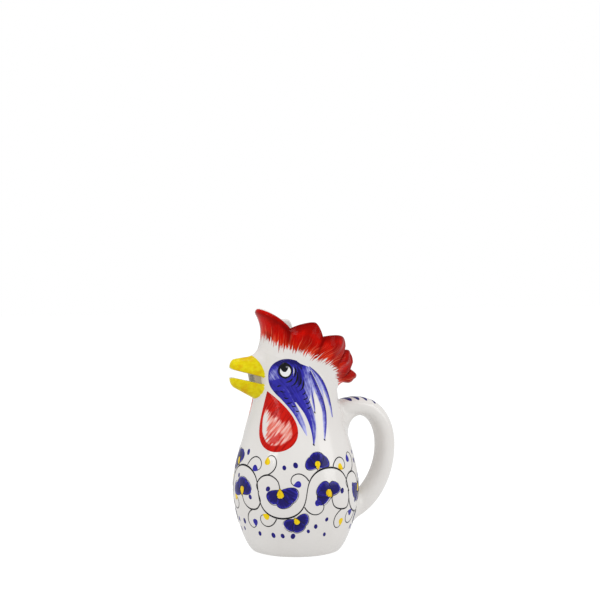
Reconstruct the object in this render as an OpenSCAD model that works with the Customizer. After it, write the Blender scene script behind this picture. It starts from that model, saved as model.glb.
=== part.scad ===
// Rooster pitcher in glazed earthenware, built up from clay pieces luted together with slip.
// The jug fills through the mouth between the lobes of the comb and pours through the open beak.
// Millimetres. +Z is up, the beak points to -X, the handle to +X, and the bird's left side faces -Y.
// The origin is the centre of the foot.

/* [Vessel] */
// Radius of the foot where it meets the table
foot_r = 35; // [28:0.5:40]
// Radius of the belly at its widest line
belly_r = 52.5; // [46:0.5:58]
// Height of the belly's widest line
belly_z = 52; // [42:0.5:62]
// Radius of the neck at its narrowest line
neck_r = 34; // [32:0.5:37]
// Height of the neck's narrowest line
neck_z = 140; // [130:0.5:146]
// Radius of the head at the forehead
forehead_r = 31.5; // [30:0.5:33.5]
// Height of the forehead
forehead_z = 170; // [168:0.5:180]
// Thickness of the wall
wall = 4.5; // [3.5:0.1:5.5]
// Thickness of the floor
floor_t = 6; // [4:0.1:9]
// Width of the bare ring under the foot
ring_w = 7; // [4:0.5:12]
// Depth of the hollow inside the bare ring
ring_depth = 1.5; // [0.5:0.1:3]

/* [Comb] */
// Height of the joint between comb and head, on the jug's axis
seam_z = 151; // [149:0.5:154]
// Fall of that joint towards the back, in degrees
seam_fall = 24; // [20:0.5:25]
// Rise of the front lobe above the joint
front_rise = 31; // [28:0.5:36]
// Rise of the crown lobes above the joint
crown_rise = 39.5; // [35:0.5:44]
// Rise of the middle lobes above the joint
middle_rise = 35.5; // [32:0.5:40]
// Rise of the rear lobes above the joint
rear_rise = 25; // [22:0.5:29]
// Rise of the tail lobe above the joint
tail_rise = 4; // [2.5:0.5:7]
// Outward lean of the front lobe
front_lean = 2; // [0:0.5:6]
// Outward lean of the crown lobes
crown_lean = -2; // [-4:0.5:3]
// Outward lean of the middle lobes
middle_lean = 7; // [4:0.5:10]
// Outward lean of the rear lobes
rear_lean = 10.6; // [8:0.1:14]
// Outward lean of the tail lobe
tail_lean = 18.5; // [15:0.5:22]
// Drop of the notch between front and crown lobes
front_notch = 11; // [8:0.5:14]
// Drop of the notch between crown and middle lobes
crown_notch = 8; // [5:0.5:11]
// Drop of the notch between middle and rear lobes
middle_notch = 5.5; // [3:0.5:7]
// Drop of the notch between rear and tail lobes
rear_notch = 5; // [3:0.5:7]
// How far the front notches are drawn in from the lobes beside them
front_setback = 3.5; // [1:0.5:5]
// How far the notches behind the crown lobes are drawn in
crown_setback = 1.2; // [0.5:0.1:3]
// How far the notches behind the middle lobes are drawn in
middle_setback = 2.5; // [0.5:0.1:4]
// How far the notches behind the rear lobes are drawn in
rear_setback = 4.2; // [2:0.1:6]
// How far the middle lobes bulge out behind their tips
middle_bulge = 0.8; // [0:0.1:2]
// How far the rear lobes bulge out behind their tips
rear_bulge = 2.8; // [0:0.1:4]
// How far the comb's front is drawn in between the forehead and its tip
front_pinch = 9.5; // [5:0.5:12]
// Outward swell of each side lobe
lobe_puff = 2.4; // [0:0.1:3.5]
// Thickness of the comb at the rounded edge of its side lobes
rim_t = 4; // [3:0.1:5]
// Thickness that the rounded edge gains at the front and at the tail
rim_gain = 1.6; // [0:0.1:2.5]

/* [Beak] */
// Reach of the beak's tips from the jug's axis
beak_reach = 58; // [52:0.5:66]
// Width of the beak at the face
beak_w = 23; // [20:0.5:27]
// Width of the beak just behind its rounded tips
beak_tip_w = 10; // [7:0.5:14]
// Height of the mouth line at the face
mouth_z = 141.2; // [138:0.1:145]
// Gap between the halves of the beak at the face
mouth_gap = 5.2; // [4.6:0.1:6]
// Height of the mouth line between the tips
gape_z = 148.5; // [145:0.5:152]
// Gap between the tips
gape_gap = 6.2; // [5:0.1:9]
// Height of the upper half at the face
upper_h = 18; // [15:0.5:20]
// Height of the upper half just behind its tip
upper_tip_h = 7.5; // [4:0.5:9]
// Height of the lower half at the face
lower_h = 16; // [12:0.5:18]
// Height of the lower half just behind its tip
lower_tip_h = 7; // [4:0.5:9]
// Rounding of each half along its edge to the mouth, where the half is widest
lip_r = 1.4; // [0.8:0.1:2]
// Length of the cheeks that close the corners of the mouth, from the beak's root
cheek_len = 9; // [7:0.5:14]
// Thickness of the cheeks
cheek_t = 2; // [1.5:0.1:2.4]
// How far the cheeks are set in from the beak's sides
cheek_inset = 1.6; // [1:0.1:2.4]
// How far the cheeks' front edges lean forward
cheek_rake = 1.5; // [0:0.5:4]
// Width of the pouring slot through the face
spout_w = 15; // [10:0.5:18]
// Height of the pouring slot through the face
spout_h = 5; // [4.5:0.1:7]

/* [Wattles] */
// Width of a wattle
wattle_w = 32; // [26:0.5:36]
// Length of a wattle
wattle_h = 50.5; // [42:0.5:54]
// Relief of a wattle above the throat
wattle_t = 1.4; // [1:0.1:3]
// Thickness of a wattle at its edge
wattle_edge_t = 0.6; // [0.4:0.1:0.9]
// Height of a wattle's middle
wattle_z = 111; // [107:0.5:113]
// Angle of a wattle's middle, round from the beak, in degrees
wattle_angle = 41; // [37:1:48]
// Slant of a wattle, its tip towards the beak, in degrees
wattle_slant = 25; // [14:1:28]

/* [Handle] */
// Reach of the handle's middle line from the jug's axis
handle_reach = 81.5; // [74:0.5:90]
// Drop from the middle of the comb's joint to the height at which the handle leaves the neck
handle_below = 38.5; // [34:0.5:44]
// Height at which the handle comes back to the belly
handle_low = 29; // [24:0.5:34]
// Upward pull of the handle as it leaves the neck
handle_lift = 27; // [18:0.5:32]
// Downward pull of the handle as it comes back to the belly
handle_drop = 14; // [8:0.5:22]
// Width of the strap
strap_w = 21; // [16:0.5:26]
// Thickness of the strap
strap_t = 15; // [11:0.5:17]
// Thickness that the strap gains at the neck
top_flare = 0.5; // [0:0.5:4]
// Thickness that the strap gains at the belly
low_flare = 3; // [0:0.5:6]

/* [Hidden] */
$fn = 96;

// Shape numbers of the vessel's profile: how quickly the foot rounds up and how full the belly is
heel_power = 1.6;
fullness_power = 0.68;
// Steps along the lower, middle and upper stretches of the profile
lower_steps = 14;
shoulder_steps = 12;
head_steps = 5;

// Angles of the comb's notches, round from the beak
notch_angles = [58, 108, 149, 167];
// Where each side lobe's tip lies between its two notches
tip_shares = [0.84, 0.84, 0.56];
// How each side lobe and the tail climb from a notch: 1 is an even slope, and more is rounder
climb_powers = [1.3, 2, 2, 1.7];
// Fullness of a side lobe's swell between its two notches
dome_power = 0.7;
// Fullness of the front lobe's top edge, and sharpness of its forward lean
crest_power = 0.7;
nose_power = 2.5;
// How far up the comb its sheet bends, at the sides and at the front
hold_share = 0.55;
front_hold_share = 0.4;
// How far the rear of the comb has leaned out by that height, and how early the sheet turns towards it
flare_out_share = 0.45;
turn_share = 0.4;
// Heights on a lobe, as shares of the comb, where its swell starts and where it is greatest
swell_start_share = 0.45;
swell_share = 0.78;
// Degrees of turn between two columns of the comb, and steps up its sheet and over its edge
column_turn = 4;
sheet_steps = 7;
edge_steps = 3;

// Steps along a half of the beak, and round one of its sections
beak_steps = 12;
beak_sides = 18;
// Share of the beak after which its tip rounds off, and share of its section left at the very tip
tip_share = 0.87;
blunt_share = 0.14;
// Crowding of the sections towards the tip, and squareness of the side that faces the mouth
crowd_power = 1.5;
flat_power = 0.5;
// How long each half stays full before it tapers: 1 is a straight taper
upper_power = 1.35;
lower_power = 1;

// Steps along a cheek, and how deep it starts inside the beak's halves before it is cut to them
cheek_steps = 4;
cheek_reach_share = 0.2;

// Rings of a wattle's dome, and points round its outline
dome_rings = 5;
drop_sides = 32;
// Slenderness of the drop's point
drop_power = 0.9;
// How far below the skin a luted piece starts before it is cut to its seat
seat_depth = wall / 2;

// Steps along the handle, and points round its section
handle_steps = 26;
strap_sides = 20;
// Share of the handle's length over which each end flares
flare_share = 0.45;
// Squareness of the strap's section: 1 is an ellipse, and less is squarer
strap_square = 0.85;

overrun = belly_r;

function mix(a, b, t) = a + (b - a) * t;
function smooth(t) = t * t * (3 - 2 * t);
// A point at radius r and height z, turned by an angle from the beak towards the bird's left
function around(r, angle, z) = [-r * cos(angle), -r * sin(angle), z];
// A quadratic curve through three points
function bow(a, b, c, t) = mix(mix(a, b, t), mix(b, c, t), t);
// Signed power, which squares up the sine and cosine of a section
function bent(v, p) = sign(v) * pow(abs(v), p);

// Profile of the vessel's skin
function rounding(t) = pow(1 - pow(1 - t, heel_power), fullness_power);
function skin_r(z) =
    z < belly_z ? mix(foot_r, belly_r, rounding(max(z, 0) / belly_z)) :
    z < neck_z ? mix(belly_r, neck_r, smooth((z - belly_z) / (neck_z - belly_z))) :
    mix(neck_r, forehead_r, pow((z - neck_z) / (forehead_z - neck_z), 2));
function hollow_r(z) =
    z < belly_z ? mix(foot_r, belly_r, rounding(max(z - floor_t, 0) / (belly_z - floor_t))) - wall :
    skin_r(z) - wall;

// Heights at which the skin is sampled, closer together where the foot rounds up
function heights(from) = concat(
    [for (i = [0 : lower_steps]) mix(from, belly_z, pow(i / lower_steps, 2))],
    [for (i = [1 : shoulder_steps]) mix(belly_z, neck_z, i / shoulder_steps)],
    [for (i = [1 : head_steps]) mix(neck_z, forehead_z, i / head_steps)]
);

// The vessel as one solid lump, which every luted piece is cut to
module vessel_lump() {
    rotate_extrude()
        polygon(concat(
            [[0, 0]],
            [for (z = heights(0)) [skin_r(z), z]],
            [[0, forehead_z]]
        ));
}

module vessel_hollow() {
    rotate_extrude()
        polygon(concat(
            [[0, floor_t]],
            [for (z = heights(floor_t)) [hollow_r(z), z]],
            [[hollow_r(forehead_z), forehead_z + overrun], [0, forehead_z + overrun]]
        ));
}

// Everything above the sloping joint that the comb stands on
module above_seam() {
    translate([0, 0, seam_z])
        rotate([0, seam_fall, 0])
            translate([-2 * overrun, -2 * overrun, 0])
                cube([4 * overrun, 4 * overrun, 4 * overrun]);
}

// Level slot with round ends, through the front wall, where the mouth line meets the face
beak_root = neck_r - wall;
spout_z = mix(mouth_z, gape_z, wall / (beak_reach - beak_root));
module spout_slot() {
    flat = spout_w - spout_h;
    translate([-neck_r - overrun / 2, 0, spout_z])
        rotate([0, 90, 0]) {
            translate([-spout_h / 2, -flat / 2, 0])
                cube([spout_h, flat, neck_r + overrun / 2]);
            for (side = [-1, 1])
                translate([0, side * flat / 2, 0])
                    cylinder(h = neck_r + overrun / 2, d = spout_h);
        }
}

module body() {
    color("whitesmoke")
        difference() {
            vessel_lump();
            vessel_hollow();
            above_seam();
            spout_slot();
            translate([0, 0, -overrun])
                cylinder(h = overrun + ring_depth, r = foot_r - ring_w);
        }
}

// Height of the joint at a radius and an angle from the beak
function seam_height(r, angle) = seam_z + tan(seam_fall) * r * cos(angle);
// Radius at which the skin, set in by an inset, meets the joint
function seam_r(angle, inset, passes = 10, r = neck_r) =
    passes == 0 ? r : seam_r(angle, inset, passes - 1, skin_r(seam_height(r, angle)) - inset);
function seam_point(angle, inset) =
    let (r = seam_r(angle, inset)) [r, seam_height(r, angle)];

// Tips and notches of the comb: angle from the beak, rise and lean
rises = [front_rise, crown_rise, middle_rise, rear_rise, tail_rise];
leans = [front_lean, crown_lean, middle_lean, rear_lean, tail_lean];
drops = [front_notch, crown_notch, middle_notch, rear_notch];
setbacks = [front_setback, crown_setback, middle_setback, rear_setback];
bulges = [0, 0, middle_bulge, rear_bulge, 0];
last = len(notch_angles) - 1;
function tip_angle(i) =
    i == 0 ? 0 : i > last ? 180 : mix(notch_angles[i - 1], notch_angles[i], tip_shares[i - 1]);
function tip(i) = [rises[i], leans[i]];
function notch(i) = (tip(i) + tip(i + 1)) / 2 - [drops[i], setbacks[i]];
function lobe_of(angle, i = 0) = i > last || angle <= notch_angles[i] ? i : lobe_of(angle, i + 1);

// Share of the way from the notch to the tip: 0 in a notch, 1 at a lobe's tip.
// The lobes are swept to the back and fall steeply behind their tips.
function lobe_share(angle) =
    let (i = lobe_of(angle), peak = tip_angle(i))
    angle <= peak && i > 0 ?
        1 - pow((peak - angle) / (peak - notch_angles[i - 1]), climb_powers[i - 1]) :
    angle <= peak ? 1 :
    let (fall = (angle - peak) / (notch_angles[i] - peak))
    i == 0 ? pow(max(0, cos(90 * fall)), crest_power) : sqrt(max(0, 1 - fall * fall));
// Rise and lean of the comb's edge. The front lobe leans most at its very tip.
function edge_at(angle) =
    let (
        i = lobe_of(angle),
        foot = angle > tip_angle(i) || i == 0 ? notch(i) : notch(i - 1),
        share = lobe_share(angle),
        bulge = angle > tip_angle(i) ? bulges[i] * sin(180 * share) : 0
    )
    [
        mix(foot[0], rises[i], share),
        mix(foot[1], leans[i], i == 0 ? pow(share, nose_power) : share) + bulge
    ];
// How far a side lobe is swelled: 0 in its notches and 1 midway between them
function dome(angle) =
    let (i = lobe_of(angle))
    i == 0 ? 0 :
    let (from = notch_angles[i - 1], to = i > last ? 360 - from : notch_angles[i])
    pow(max(0, sin(180 * (angle - from) / (to - from))), dome_power);

// Direction of the skin's profile at a height
function skin_way(z) =
    let (step = wall / 20, d = [skin_r(z + step) - skin_r(z - step), 2 * step])
    d / norm(d);
// A curve that leaves the head nearly in the head's own direction and bends to an end
function strip(start, hold, end, t) =
    let (
        straight = hold - start,
        first = start + mix(skin_way(start[1]) * norm(straight), straight, turn_share) * 2 / 3,
        second = end + (hold - end) * 2 / 3
    )
    mix(bow(start, first, second, t), bow(first, second, end, t), t);

// One upright section of the comb, up the outside, over the edge and down the inside: [radius, height]
function comb_section(angle) =
    let (
        outer = seam_point(angle, 0),
        inner = seam_point(angle, wall),
        edge = edge_at(angle),
        end = outer + [edge[1], edge[0]],
        fore = max(cos(angle), 0),
        aft = max(-cos(angle), 0),
        hold = outer + [
            edge[1] * flare_out_share * aft - front_pinch * fore * fore,
            edge[0] * mix(hold_share, front_hold_share, fore)
        ],
        thick = rim_t + rim_gain * pow(cos(angle), 2),
        lean = (end - hold) / norm(end - hold),
        across = [lean[1], -lean[0]],
        inner_end = end - across * thick,
        inner_hold = hold - [wall, 0],
        puff = lobe_puff * dome(angle)
    )
    concat(
        [for (i = [0 : sheet_steps]) let (t = i / sheet_steps)
            strip(outer, hold, end, t) + across * puff * swell(t)],
        [for (i = [1 : edge_steps]) let (turn = 180 * i / (edge_steps + 1))
            (end + inner_end) / 2 + thick / 2 * (across * cos(turn) + lean * sin(turn))],
        [for (i = [sheet_steps : -1 : 0]) strip(inner, inner_hold, inner_end, i / sheet_steps)]
    );
function swell(t) =
    t < swell_share ? smooth(max(t - swell_start_share, 0) / (swell_share - swell_start_share)) :
    cos(90 * (t - swell_share) / (1 - swell_share));

// Angle of a comb section on the half of the comb that is described
function folded(angle) = angle < 0 ? -angle : angle > 180 ? 360 - angle : angle;

// A stretch of the comb through a row of angles, with a column at each of them and even columns between
module comb_stretch(stops) {
    angles = concat(
        [for (k = [1 : len(stops) - 1])
            let (from = stops[k - 1], to = stops[k], turns = ceil((to - from) / column_turn))
            for (i = [0 : turns - 1]) mix(from, to, i / turns)],
        [stops[len(stops) - 1]]
    );
    skin([for (angle = angles) [for (p = comb_section(folded(angle))) around(p[0], angle, p[1])]]);
}

// Closed skin over a row of closed sections that all have the same number of points
module skin(sections) {
    n = len(sections[0]);
    rows = len(sections);
    polyhedron(
        points = [for (section = sections) for (p = section) p],
        faces = concat(
            [[for (j = [n - 1 : -1 : 0]) j]],
            [for (i = [0 : rows - 2]) for (j = [0 : n - 1]) let (k = (j + 1) % n)
                each [
                    [i * n + j, i * n + k, (i + 1) * n + k],
                    [i * n + j, (i + 1) * n + k, (i + 1) * n + j]
                ]],
            [[for (j = [0 : n - 1]) (rows - 1) * n + j]]
        )
    );
}

module comb_front() { color("firebrick") comb_stretch([-notch_angles[0], 0, notch_angles[0]]); }

module comb_left() { color("firebrick") comb_stretch(notch_angles); }

module comb_right() {
    color("firebrick")
        mirror([0, 1, 0])
            comb_stretch(notch_angles);
}

module comb_back() {
    color("firebrick")
        comb_stretch([notch_angles[last], 180, 360 - notch_angles[last]]);
}

// Half width of the beak, and height of the edge that each half turns to the mouth, along its length
function beak_half_w(t) = mix(beak_w, beak_tip_w, t) / 2;
function beak_edge(side, t) = mix(mouth_z, gape_z, t) + side * mix(mouth_gap, gape_gap, t) / 2;

// Half of the beak, from its root inside the face to its rounded tip. Side 1 is upper, -1 lower.
module beak_half(side, root_h, tip_h, taper_power) {
    skin([for (i = [0 : beak_steps]) let (
            t = 1 - pow(1 - i / beak_steps, crowd_power),
            past = max(t - tip_share, 0) / (1 - tip_share),
            close = max(blunt_share, sqrt(1 - past * past)),
            half_w = beak_half_w(t) * close,
            height = mix(root_h, tip_h, pow(t, taper_power)),
            widest_z = beak_edge(side, t) + side * lip_r
        )
        [for (j = [0 : beak_sides - 1]) let (
                turn = 360 * j / beak_sides,
                up = sin(turn),
                inward = up * side < 0,
                square = inward ? flat_power : 1,
                rise = (inward ? lip_r : height - lip_r) * close
            )
            [
                -mix(beak_root, beak_reach, t),
                half_w * bent(cos(turn), square),
                widest_z + rise * bent(up, square)
            ]]]);
}

module upper_half() { beak_half(1, upper_h, upper_tip_h, upper_power); }

module lower_half() { beak_half(-1, lower_h, lower_tip_h, lower_power); }

module upper_beak() {
    color("gold")
        difference() {
            upper_half();
            vessel_lump();
        }
}

module lower_beak() {
    color("gold")
        difference() {
            lower_half();
            vessel_lump();
        }
}

// Low wall that closes one corner of the mouth, set in from the beak's side and cut to both halves
module cheek() {
    color("whitesmoke")
        difference() {
            skin([for (i = [0 : cheek_steps]) let (
                    along = cheek_len * i / cheek_steps,
                    t = along / (beak_reach - beak_root),
                    x = -beak_root - along,
                    rake = cheek_rake * i / cheek_steps,
                    outer = beak_half_w(t) - cheek_inset,
                    low = beak_edge(-1, t) - lower_h * cheek_reach_share,
                    high = beak_edge(1, t) + upper_h * cheek_reach_share
                )
                [
                    [x, outer, low],
                    [x - rake, outer, high],
                    [x - rake, outer - cheek_t, high],
                    [x, outer - cheek_t, low]
                ]]);
            vessel_lump();
            upper_half();
            lower_half();
        }
}

module cheek_left() { mirror([0, 1, 0]) cheek(); }

module cheek_right() { cheek(); }

// Drop-shaped outline of a wattle, point up, as shares of its half width and half length
function drop_side(turn) = sin(turn) * pow(sin(turn / 2), drop_power);
drop_widest = max([for (turn = [0 : 5 : 180]) drop_side(turn)]);
function drop_shares(turn) = [drop_side(turn) / drop_widest, cos(turn)];

// A point of a wattle: out from its middle by a share of its outline, and off the skin by a lift
function wattle_point(turn, out, lift) =
    let (
        share = drop_shares(turn) * out,
        side = share[0] * wattle_w / 2,
        up = share[1] * wattle_h / 2,
        z = wattle_z + up * cos(wattle_slant) + side * sin(wattle_slant),
        along = side * cos(wattle_slant) - up * sin(wattle_slant)
    )
    around(skin_r(z) + lift, wattle_angle + along / skin_r(wattle_z) * 180 / PI, z);

// The dome is a cap of rings over a flat back that is cut to the skin
module wattle() {
    turns = [for (j = [0 : drop_sides - 1]) 360 * j / drop_sides];
    difference() {
        skin(concat(
            [[for (turn = turns) wattle_point(turn, 1, -seat_depth)]],
            [for (i = [dome_rings : -1 : 0]) let (out = max(i / dome_rings, 1 / drop_sides))
                [for (turn = turns)
                    wattle_point(turn, out, mix(wattle_edge_t, wattle_t, sqrt(1 - out * out)))]]
        ));
        vessel_lump();
    }
}

module wattle_left() { color("orangered") wattle(); }

module wattle_right() { color("orangered") mirror([0, 1, 0]) wattle(); }

// Middle line of the handle in the plane of the jug's axis: a cubic from the neck to the belly, as [x, z]
handle_top = seam_z - handle_below;
handle_start = [skin_r(handle_top) - wall, handle_top];
handle_end = [skin_r(handle_low) - wall, handle_low];
handle_pull = (8 * handle_reach - handle_start[0] - handle_end[0]) / 6;
handle_turns = [[handle_pull, handle_top + handle_lift], [handle_pull, handle_low + handle_drop]];
function handle_line(t) = mix(
    bow(handle_start, handle_turns[0], handle_turns[1], t),
    bow(handle_turns[0], handle_turns[1], handle_end, t), t);
function handle_way(t) =
    let (step = 1 / handle_steps / 4, d = handle_line(min(t + step, 1)) - handle_line(max(t - step, 0)))
    d / norm(d);
function end_share(t) = t < 0 ? 0 : smooth(min(t, 1));

// Strap with a rounded section that thickens into both of its joints
module handle() {
    color("whitesmoke")
        difference() {
            skin([for (i = [0 : handle_steps]) let (
                    t = i / handle_steps,
                    line = handle_line(t),
                    way = handle_way(t),
                    thick = strap_t + top_flare * end_share(1 - t / flare_share)
                        + low_flare * end_share(1 - (1 - t) / flare_share)
                )
                [for (j = [strap_sides - 1 : -1 : 0]) let (turn = 360 * j / strap_sides,
                        out = thick / 2 * bent(sin(turn), strap_square))
                    [
                        line[0] - way[1] * out,
                        strap_w / 2 * bent(cos(turn), strap_square),
                        line[1] + way[0] * out
                    ]]]);
            vessel_lump();
        }
}

body();
comb_front();
comb_left();
comb_right();
comb_back();
upper_beak();
lower_beak();
cheek_left();
cheek_right();
wattle_left();
wattle_right();
handle();
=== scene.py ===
# %% [markdown]
# # A painted rooster pitcher
# The jug is white glazed earthenware in the shape of a rooster: a pear-shaped vessel, a scalloped comb
# round the open mouth, an open beak that pours, two wattles and a strap handle. A painter then adds the
# blue face, the red comb and a blue and yellow scroll round the belly. The packed clay pieces come in
# first, and each is hidden where a finished piece takes its place.

# %% Load the clay pieces
import math

import bmesh
import bpy
import numpy as np
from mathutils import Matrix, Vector


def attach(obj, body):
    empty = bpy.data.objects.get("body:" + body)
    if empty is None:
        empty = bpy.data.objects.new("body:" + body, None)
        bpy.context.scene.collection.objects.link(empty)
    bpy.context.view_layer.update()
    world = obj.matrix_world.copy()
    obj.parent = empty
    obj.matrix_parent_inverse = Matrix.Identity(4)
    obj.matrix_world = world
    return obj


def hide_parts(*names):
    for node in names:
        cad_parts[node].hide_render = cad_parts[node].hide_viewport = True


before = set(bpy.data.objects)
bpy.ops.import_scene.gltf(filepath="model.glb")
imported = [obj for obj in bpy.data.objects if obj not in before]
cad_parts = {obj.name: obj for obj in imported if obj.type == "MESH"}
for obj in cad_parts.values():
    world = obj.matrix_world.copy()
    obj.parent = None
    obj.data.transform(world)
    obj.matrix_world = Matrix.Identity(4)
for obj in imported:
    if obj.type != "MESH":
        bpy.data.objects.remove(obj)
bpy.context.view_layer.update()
print("clay pieces:", sorted(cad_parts))

# %% [markdown]
# ## The shape of the vessel
# A potter would throw the body on a wheel, so one profile turned round an axis describes it. The
# profile is a short set of numbers: the foot, the widest line of the belly, the narrow line of the neck
# and the brow. The same numbers place every painted stroke, so they are kept as functions that take a
# height in millimetres and give a radius. Angles are counted from the beak towards the bird's left
# side.

# %% Profile of the vessel
FOOT_R, BELLY_R, BELLY_Z = 35.0, 52.2, 52.0
NECK_R, NECK_Z, BROW_R, BROW_Z = 34.0, 140.0, 31.5, 170.0
WALL, FLOOR_T, RING_W, RING_DEPTH = 4.5, 6.0, 7.0, 1.5
HEEL_ROUND, HEEL_FILL, SLOPE_STEP = 1.6, 0.68, 0.2


def mix(a, b, t):
    return a + (b - a) * t


def smooth(t):
    t = np.clip(t, 0, 1)
    return t * t * (3 - 2 * t)


def heel(t):
    return (1 - (1 - np.clip(t, 0, 1)) ** HEEL_ROUND) ** HEEL_FILL


def skin_radius(z):
    z = np.asarray(z, float)
    low = mix(FOOT_R, BELLY_R, heel(z / BELLY_Z))
    shoulder = mix(BELLY_R, NECK_R, smooth((z - BELLY_Z) / (NECK_Z - BELLY_Z)))
    head = mix(NECK_R, BROW_R, ((z - NECK_Z) / (BROW_Z - NECK_Z)) ** 2)
    return np.where(z < BELLY_Z, low, np.where(z < NECK_Z, shoulder, head))


def hollow_radius(z):
    z = np.asarray(z, float)
    low = mix(FOOT_R, BELLY_R, heel((z - FLOOR_T) / (BELLY_Z - FLOOR_T))) - WALL
    return np.where(z < BELLY_Z, low, skin_radius(z) - WALL)


def skin_slope(z):
    above, below = (skin_radius(np.asarray(z) + step) for step in (SLOPE_STEP, -SLOPE_STEP))
    return (above - below) / (2 * SLOPE_STEP)


def joined(*parts):
    """Points from their coordinates."""
    return np.stack(np.broadcast_arrays(*parts), -1)


def around(radius, angle, z):
    turn = np.radians(angle)
    return joined(-radius * np.cos(turn), -radius * np.sin(turn), z)


def on_skin(angle, z, lift=0.0):
    """Points on the vessel at these angles and heights, lifted off it along its own normal."""
    tilt = np.arctan(-skin_slope(z))
    return around(skin_radius(z) + lift * np.cos(tilt), angle, z + lift * np.sin(tilt))


print("belly is", 2 * float(skin_radius(BELLY_Z)), "mm across, neck", 2 * float(skin_radius(NECK_Z)))

# %% [markdown]
# ## From numbers to pieces
# Every piece is a closed mesh, as a piece of clay is. Two helpers do the work: loft joins a row of
# rings into a skin, and add_piece turns points and faces into an object that rides on the jug. Edges
# sharper than a set angle stay crisp, and everything else is shaded smooth. Marks are numbers kept at
# each point, such as a height above a joint, which the finishes read later to know where the brush
# went.

# %% Mesh helpers
def ring_faces(rows, count, first=0):
    """Quads between rows of points, each row a closed ring of count points."""
    i, j = np.meshgrid(np.arange(rows - 1), np.arange(count), indexing="ij")
    k = (j + 1) % count
    quads = np.stack([i * count + j, i * count + k, (i + 1) * count + k, (i + 1) * count + j], -1)
    return (quads.reshape(-1, 4) + first).tolist()


def loft(rings, first=0):
    """Points and faces of a closed skin over an array of rings, with a flat face at each end."""
    rows, count, _ = rings.shape
    end = np.arange(count) + first
    ends = [end[::-1].tolist(), (end + (rows - 1) * count).tolist()]
    return rings.reshape(-1, 3), ring_faces(rows, count, first) + ends


def show(name, data):
    """A new object in the scene."""
    thing = bpy.data.objects.new(name, data)
    bpy.context.scene.collection.objects.link(thing)
    return thing


def add_piece(name, points, faces, finish, slot, node=None, marks=None, sharp=50):
    mesh = bpy.data.meshes.new(name)
    mesh.from_pydata((np.asarray(points) * 0.001).tolist(), [], faces)
    for mark, values in (marks or {}).items():
        layer = mesh.attributes.new(mark, "FLOAT", "POINT")
        layer.data.foreach_set("value", np.asarray(values, np.float32).ravel())
    shape = bmesh.new()
    shape.from_mesh(mesh)
    bmesh.ops.recalc_face_normals(shape, faces=shape.faces)
    shape.to_mesh(mesh)
    shape.free()
    mesh.polygons.foreach_set("use_smooth", [True] * len(mesh.polygons))
    mesh.set_sharp_from_angle(angle=math.radians(sharp))
    mesh.materials.append(finish.material)
    piece = show(name, mesh)
    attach(piece, "root")
    if node:
        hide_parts(node)
    print(name, len(mesh.polygons), "faces")
    return piece


print("two rings of four points make a box of", len(loft(np.zeros((2, 4, 3)))[1]), "faces")

# %% [markdown]
# ## The glaze
# Tin glaze is opaque white, a little warm, and never quite even: it pools and thins, so its colour
# drifts by a few percent and its surface ripples very slightly. A principled shader with two slow
# noises gives that. Each finish on the jug is a variation on this one, so the helpers below keep the
# node trees short: what a node gives out is a value, and values are added and multiplied as numbers
# are.

# %% Values and node trees
class Value:
    """What a node gives out."""

    def __init__(self, tree, socket):
        self.tree, self.socket = tree, socket

    def math(self, operation, other):
        return self.tree.node("Math", (self, other), operation=operation)

    def __add__(self, other):
        return self.math("ADD", other)

    def __sub__(self, other):
        return self.math("SUBTRACT", other)

    def __mul__(self, other):
        return self.math("MULTIPLY", other)

    def larger(self, other):
        return self.math("MAXIMUM", other)

    def step(self, low, high, start=0.0, end=1.0):
        """A soft step from start to end while the value goes from low to high."""
        inputs = (self, low, high, start, end)
        return self.tree.node("MapRange", inputs, interpolation_type="SMOOTHSTEP")

    def blend(self, a, b):
        """Colour a where the value is 0, colour b where it is 1."""
        return self.tree.node("Mix", {0: self, 6: a, 7: b}, 2, data_type="RGBA")


class Tree:
    """A node tree with a short way to add nodes."""

    def __init__(self, tree):
        self.nodes, self.links = tree.nodes, tree.links

    def put(self, socket, value):
        if isinstance(value, Value):
            self.links.new(value.socket, socket)
        else:
            socket.default_value = value

    def node(self, kind, inputs=(), output=0, **settings):
        """Adds a node, fills its inputs by place or by name, and gives one of its outputs."""
        node = self.nodes.new("ShaderNode" + kind)
        for name, value in settings.items():
            setattr(node, name, value)
        for key, value in (inputs.items() if isinstance(inputs, dict) else enumerate(inputs)):
            self.put(node.inputs[key], value)
        return Value(self, node.outputs[output]) if node.outputs else None


def srgb(red, green, blue):
    """A colour as it looks on screen, 0 to 255, turned into the linear values that shaders use."""
    shares = np.array([red, green, blue]) / 255
    return *np.where(shares <= 0.04045, shares / 12.92, ((shares + 0.055) / 1.055) ** 2.4), 1.0


print("mid grey in a shader is", round(float(srgb(128, 128, 128)[0]), 3))

# %% What finishes share
GLAZE_LIGHT, GLAZE_SHADE, GLAZE_SHINE = srgb(229, 227, 224), srgb(221, 217, 213), 0.42


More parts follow.
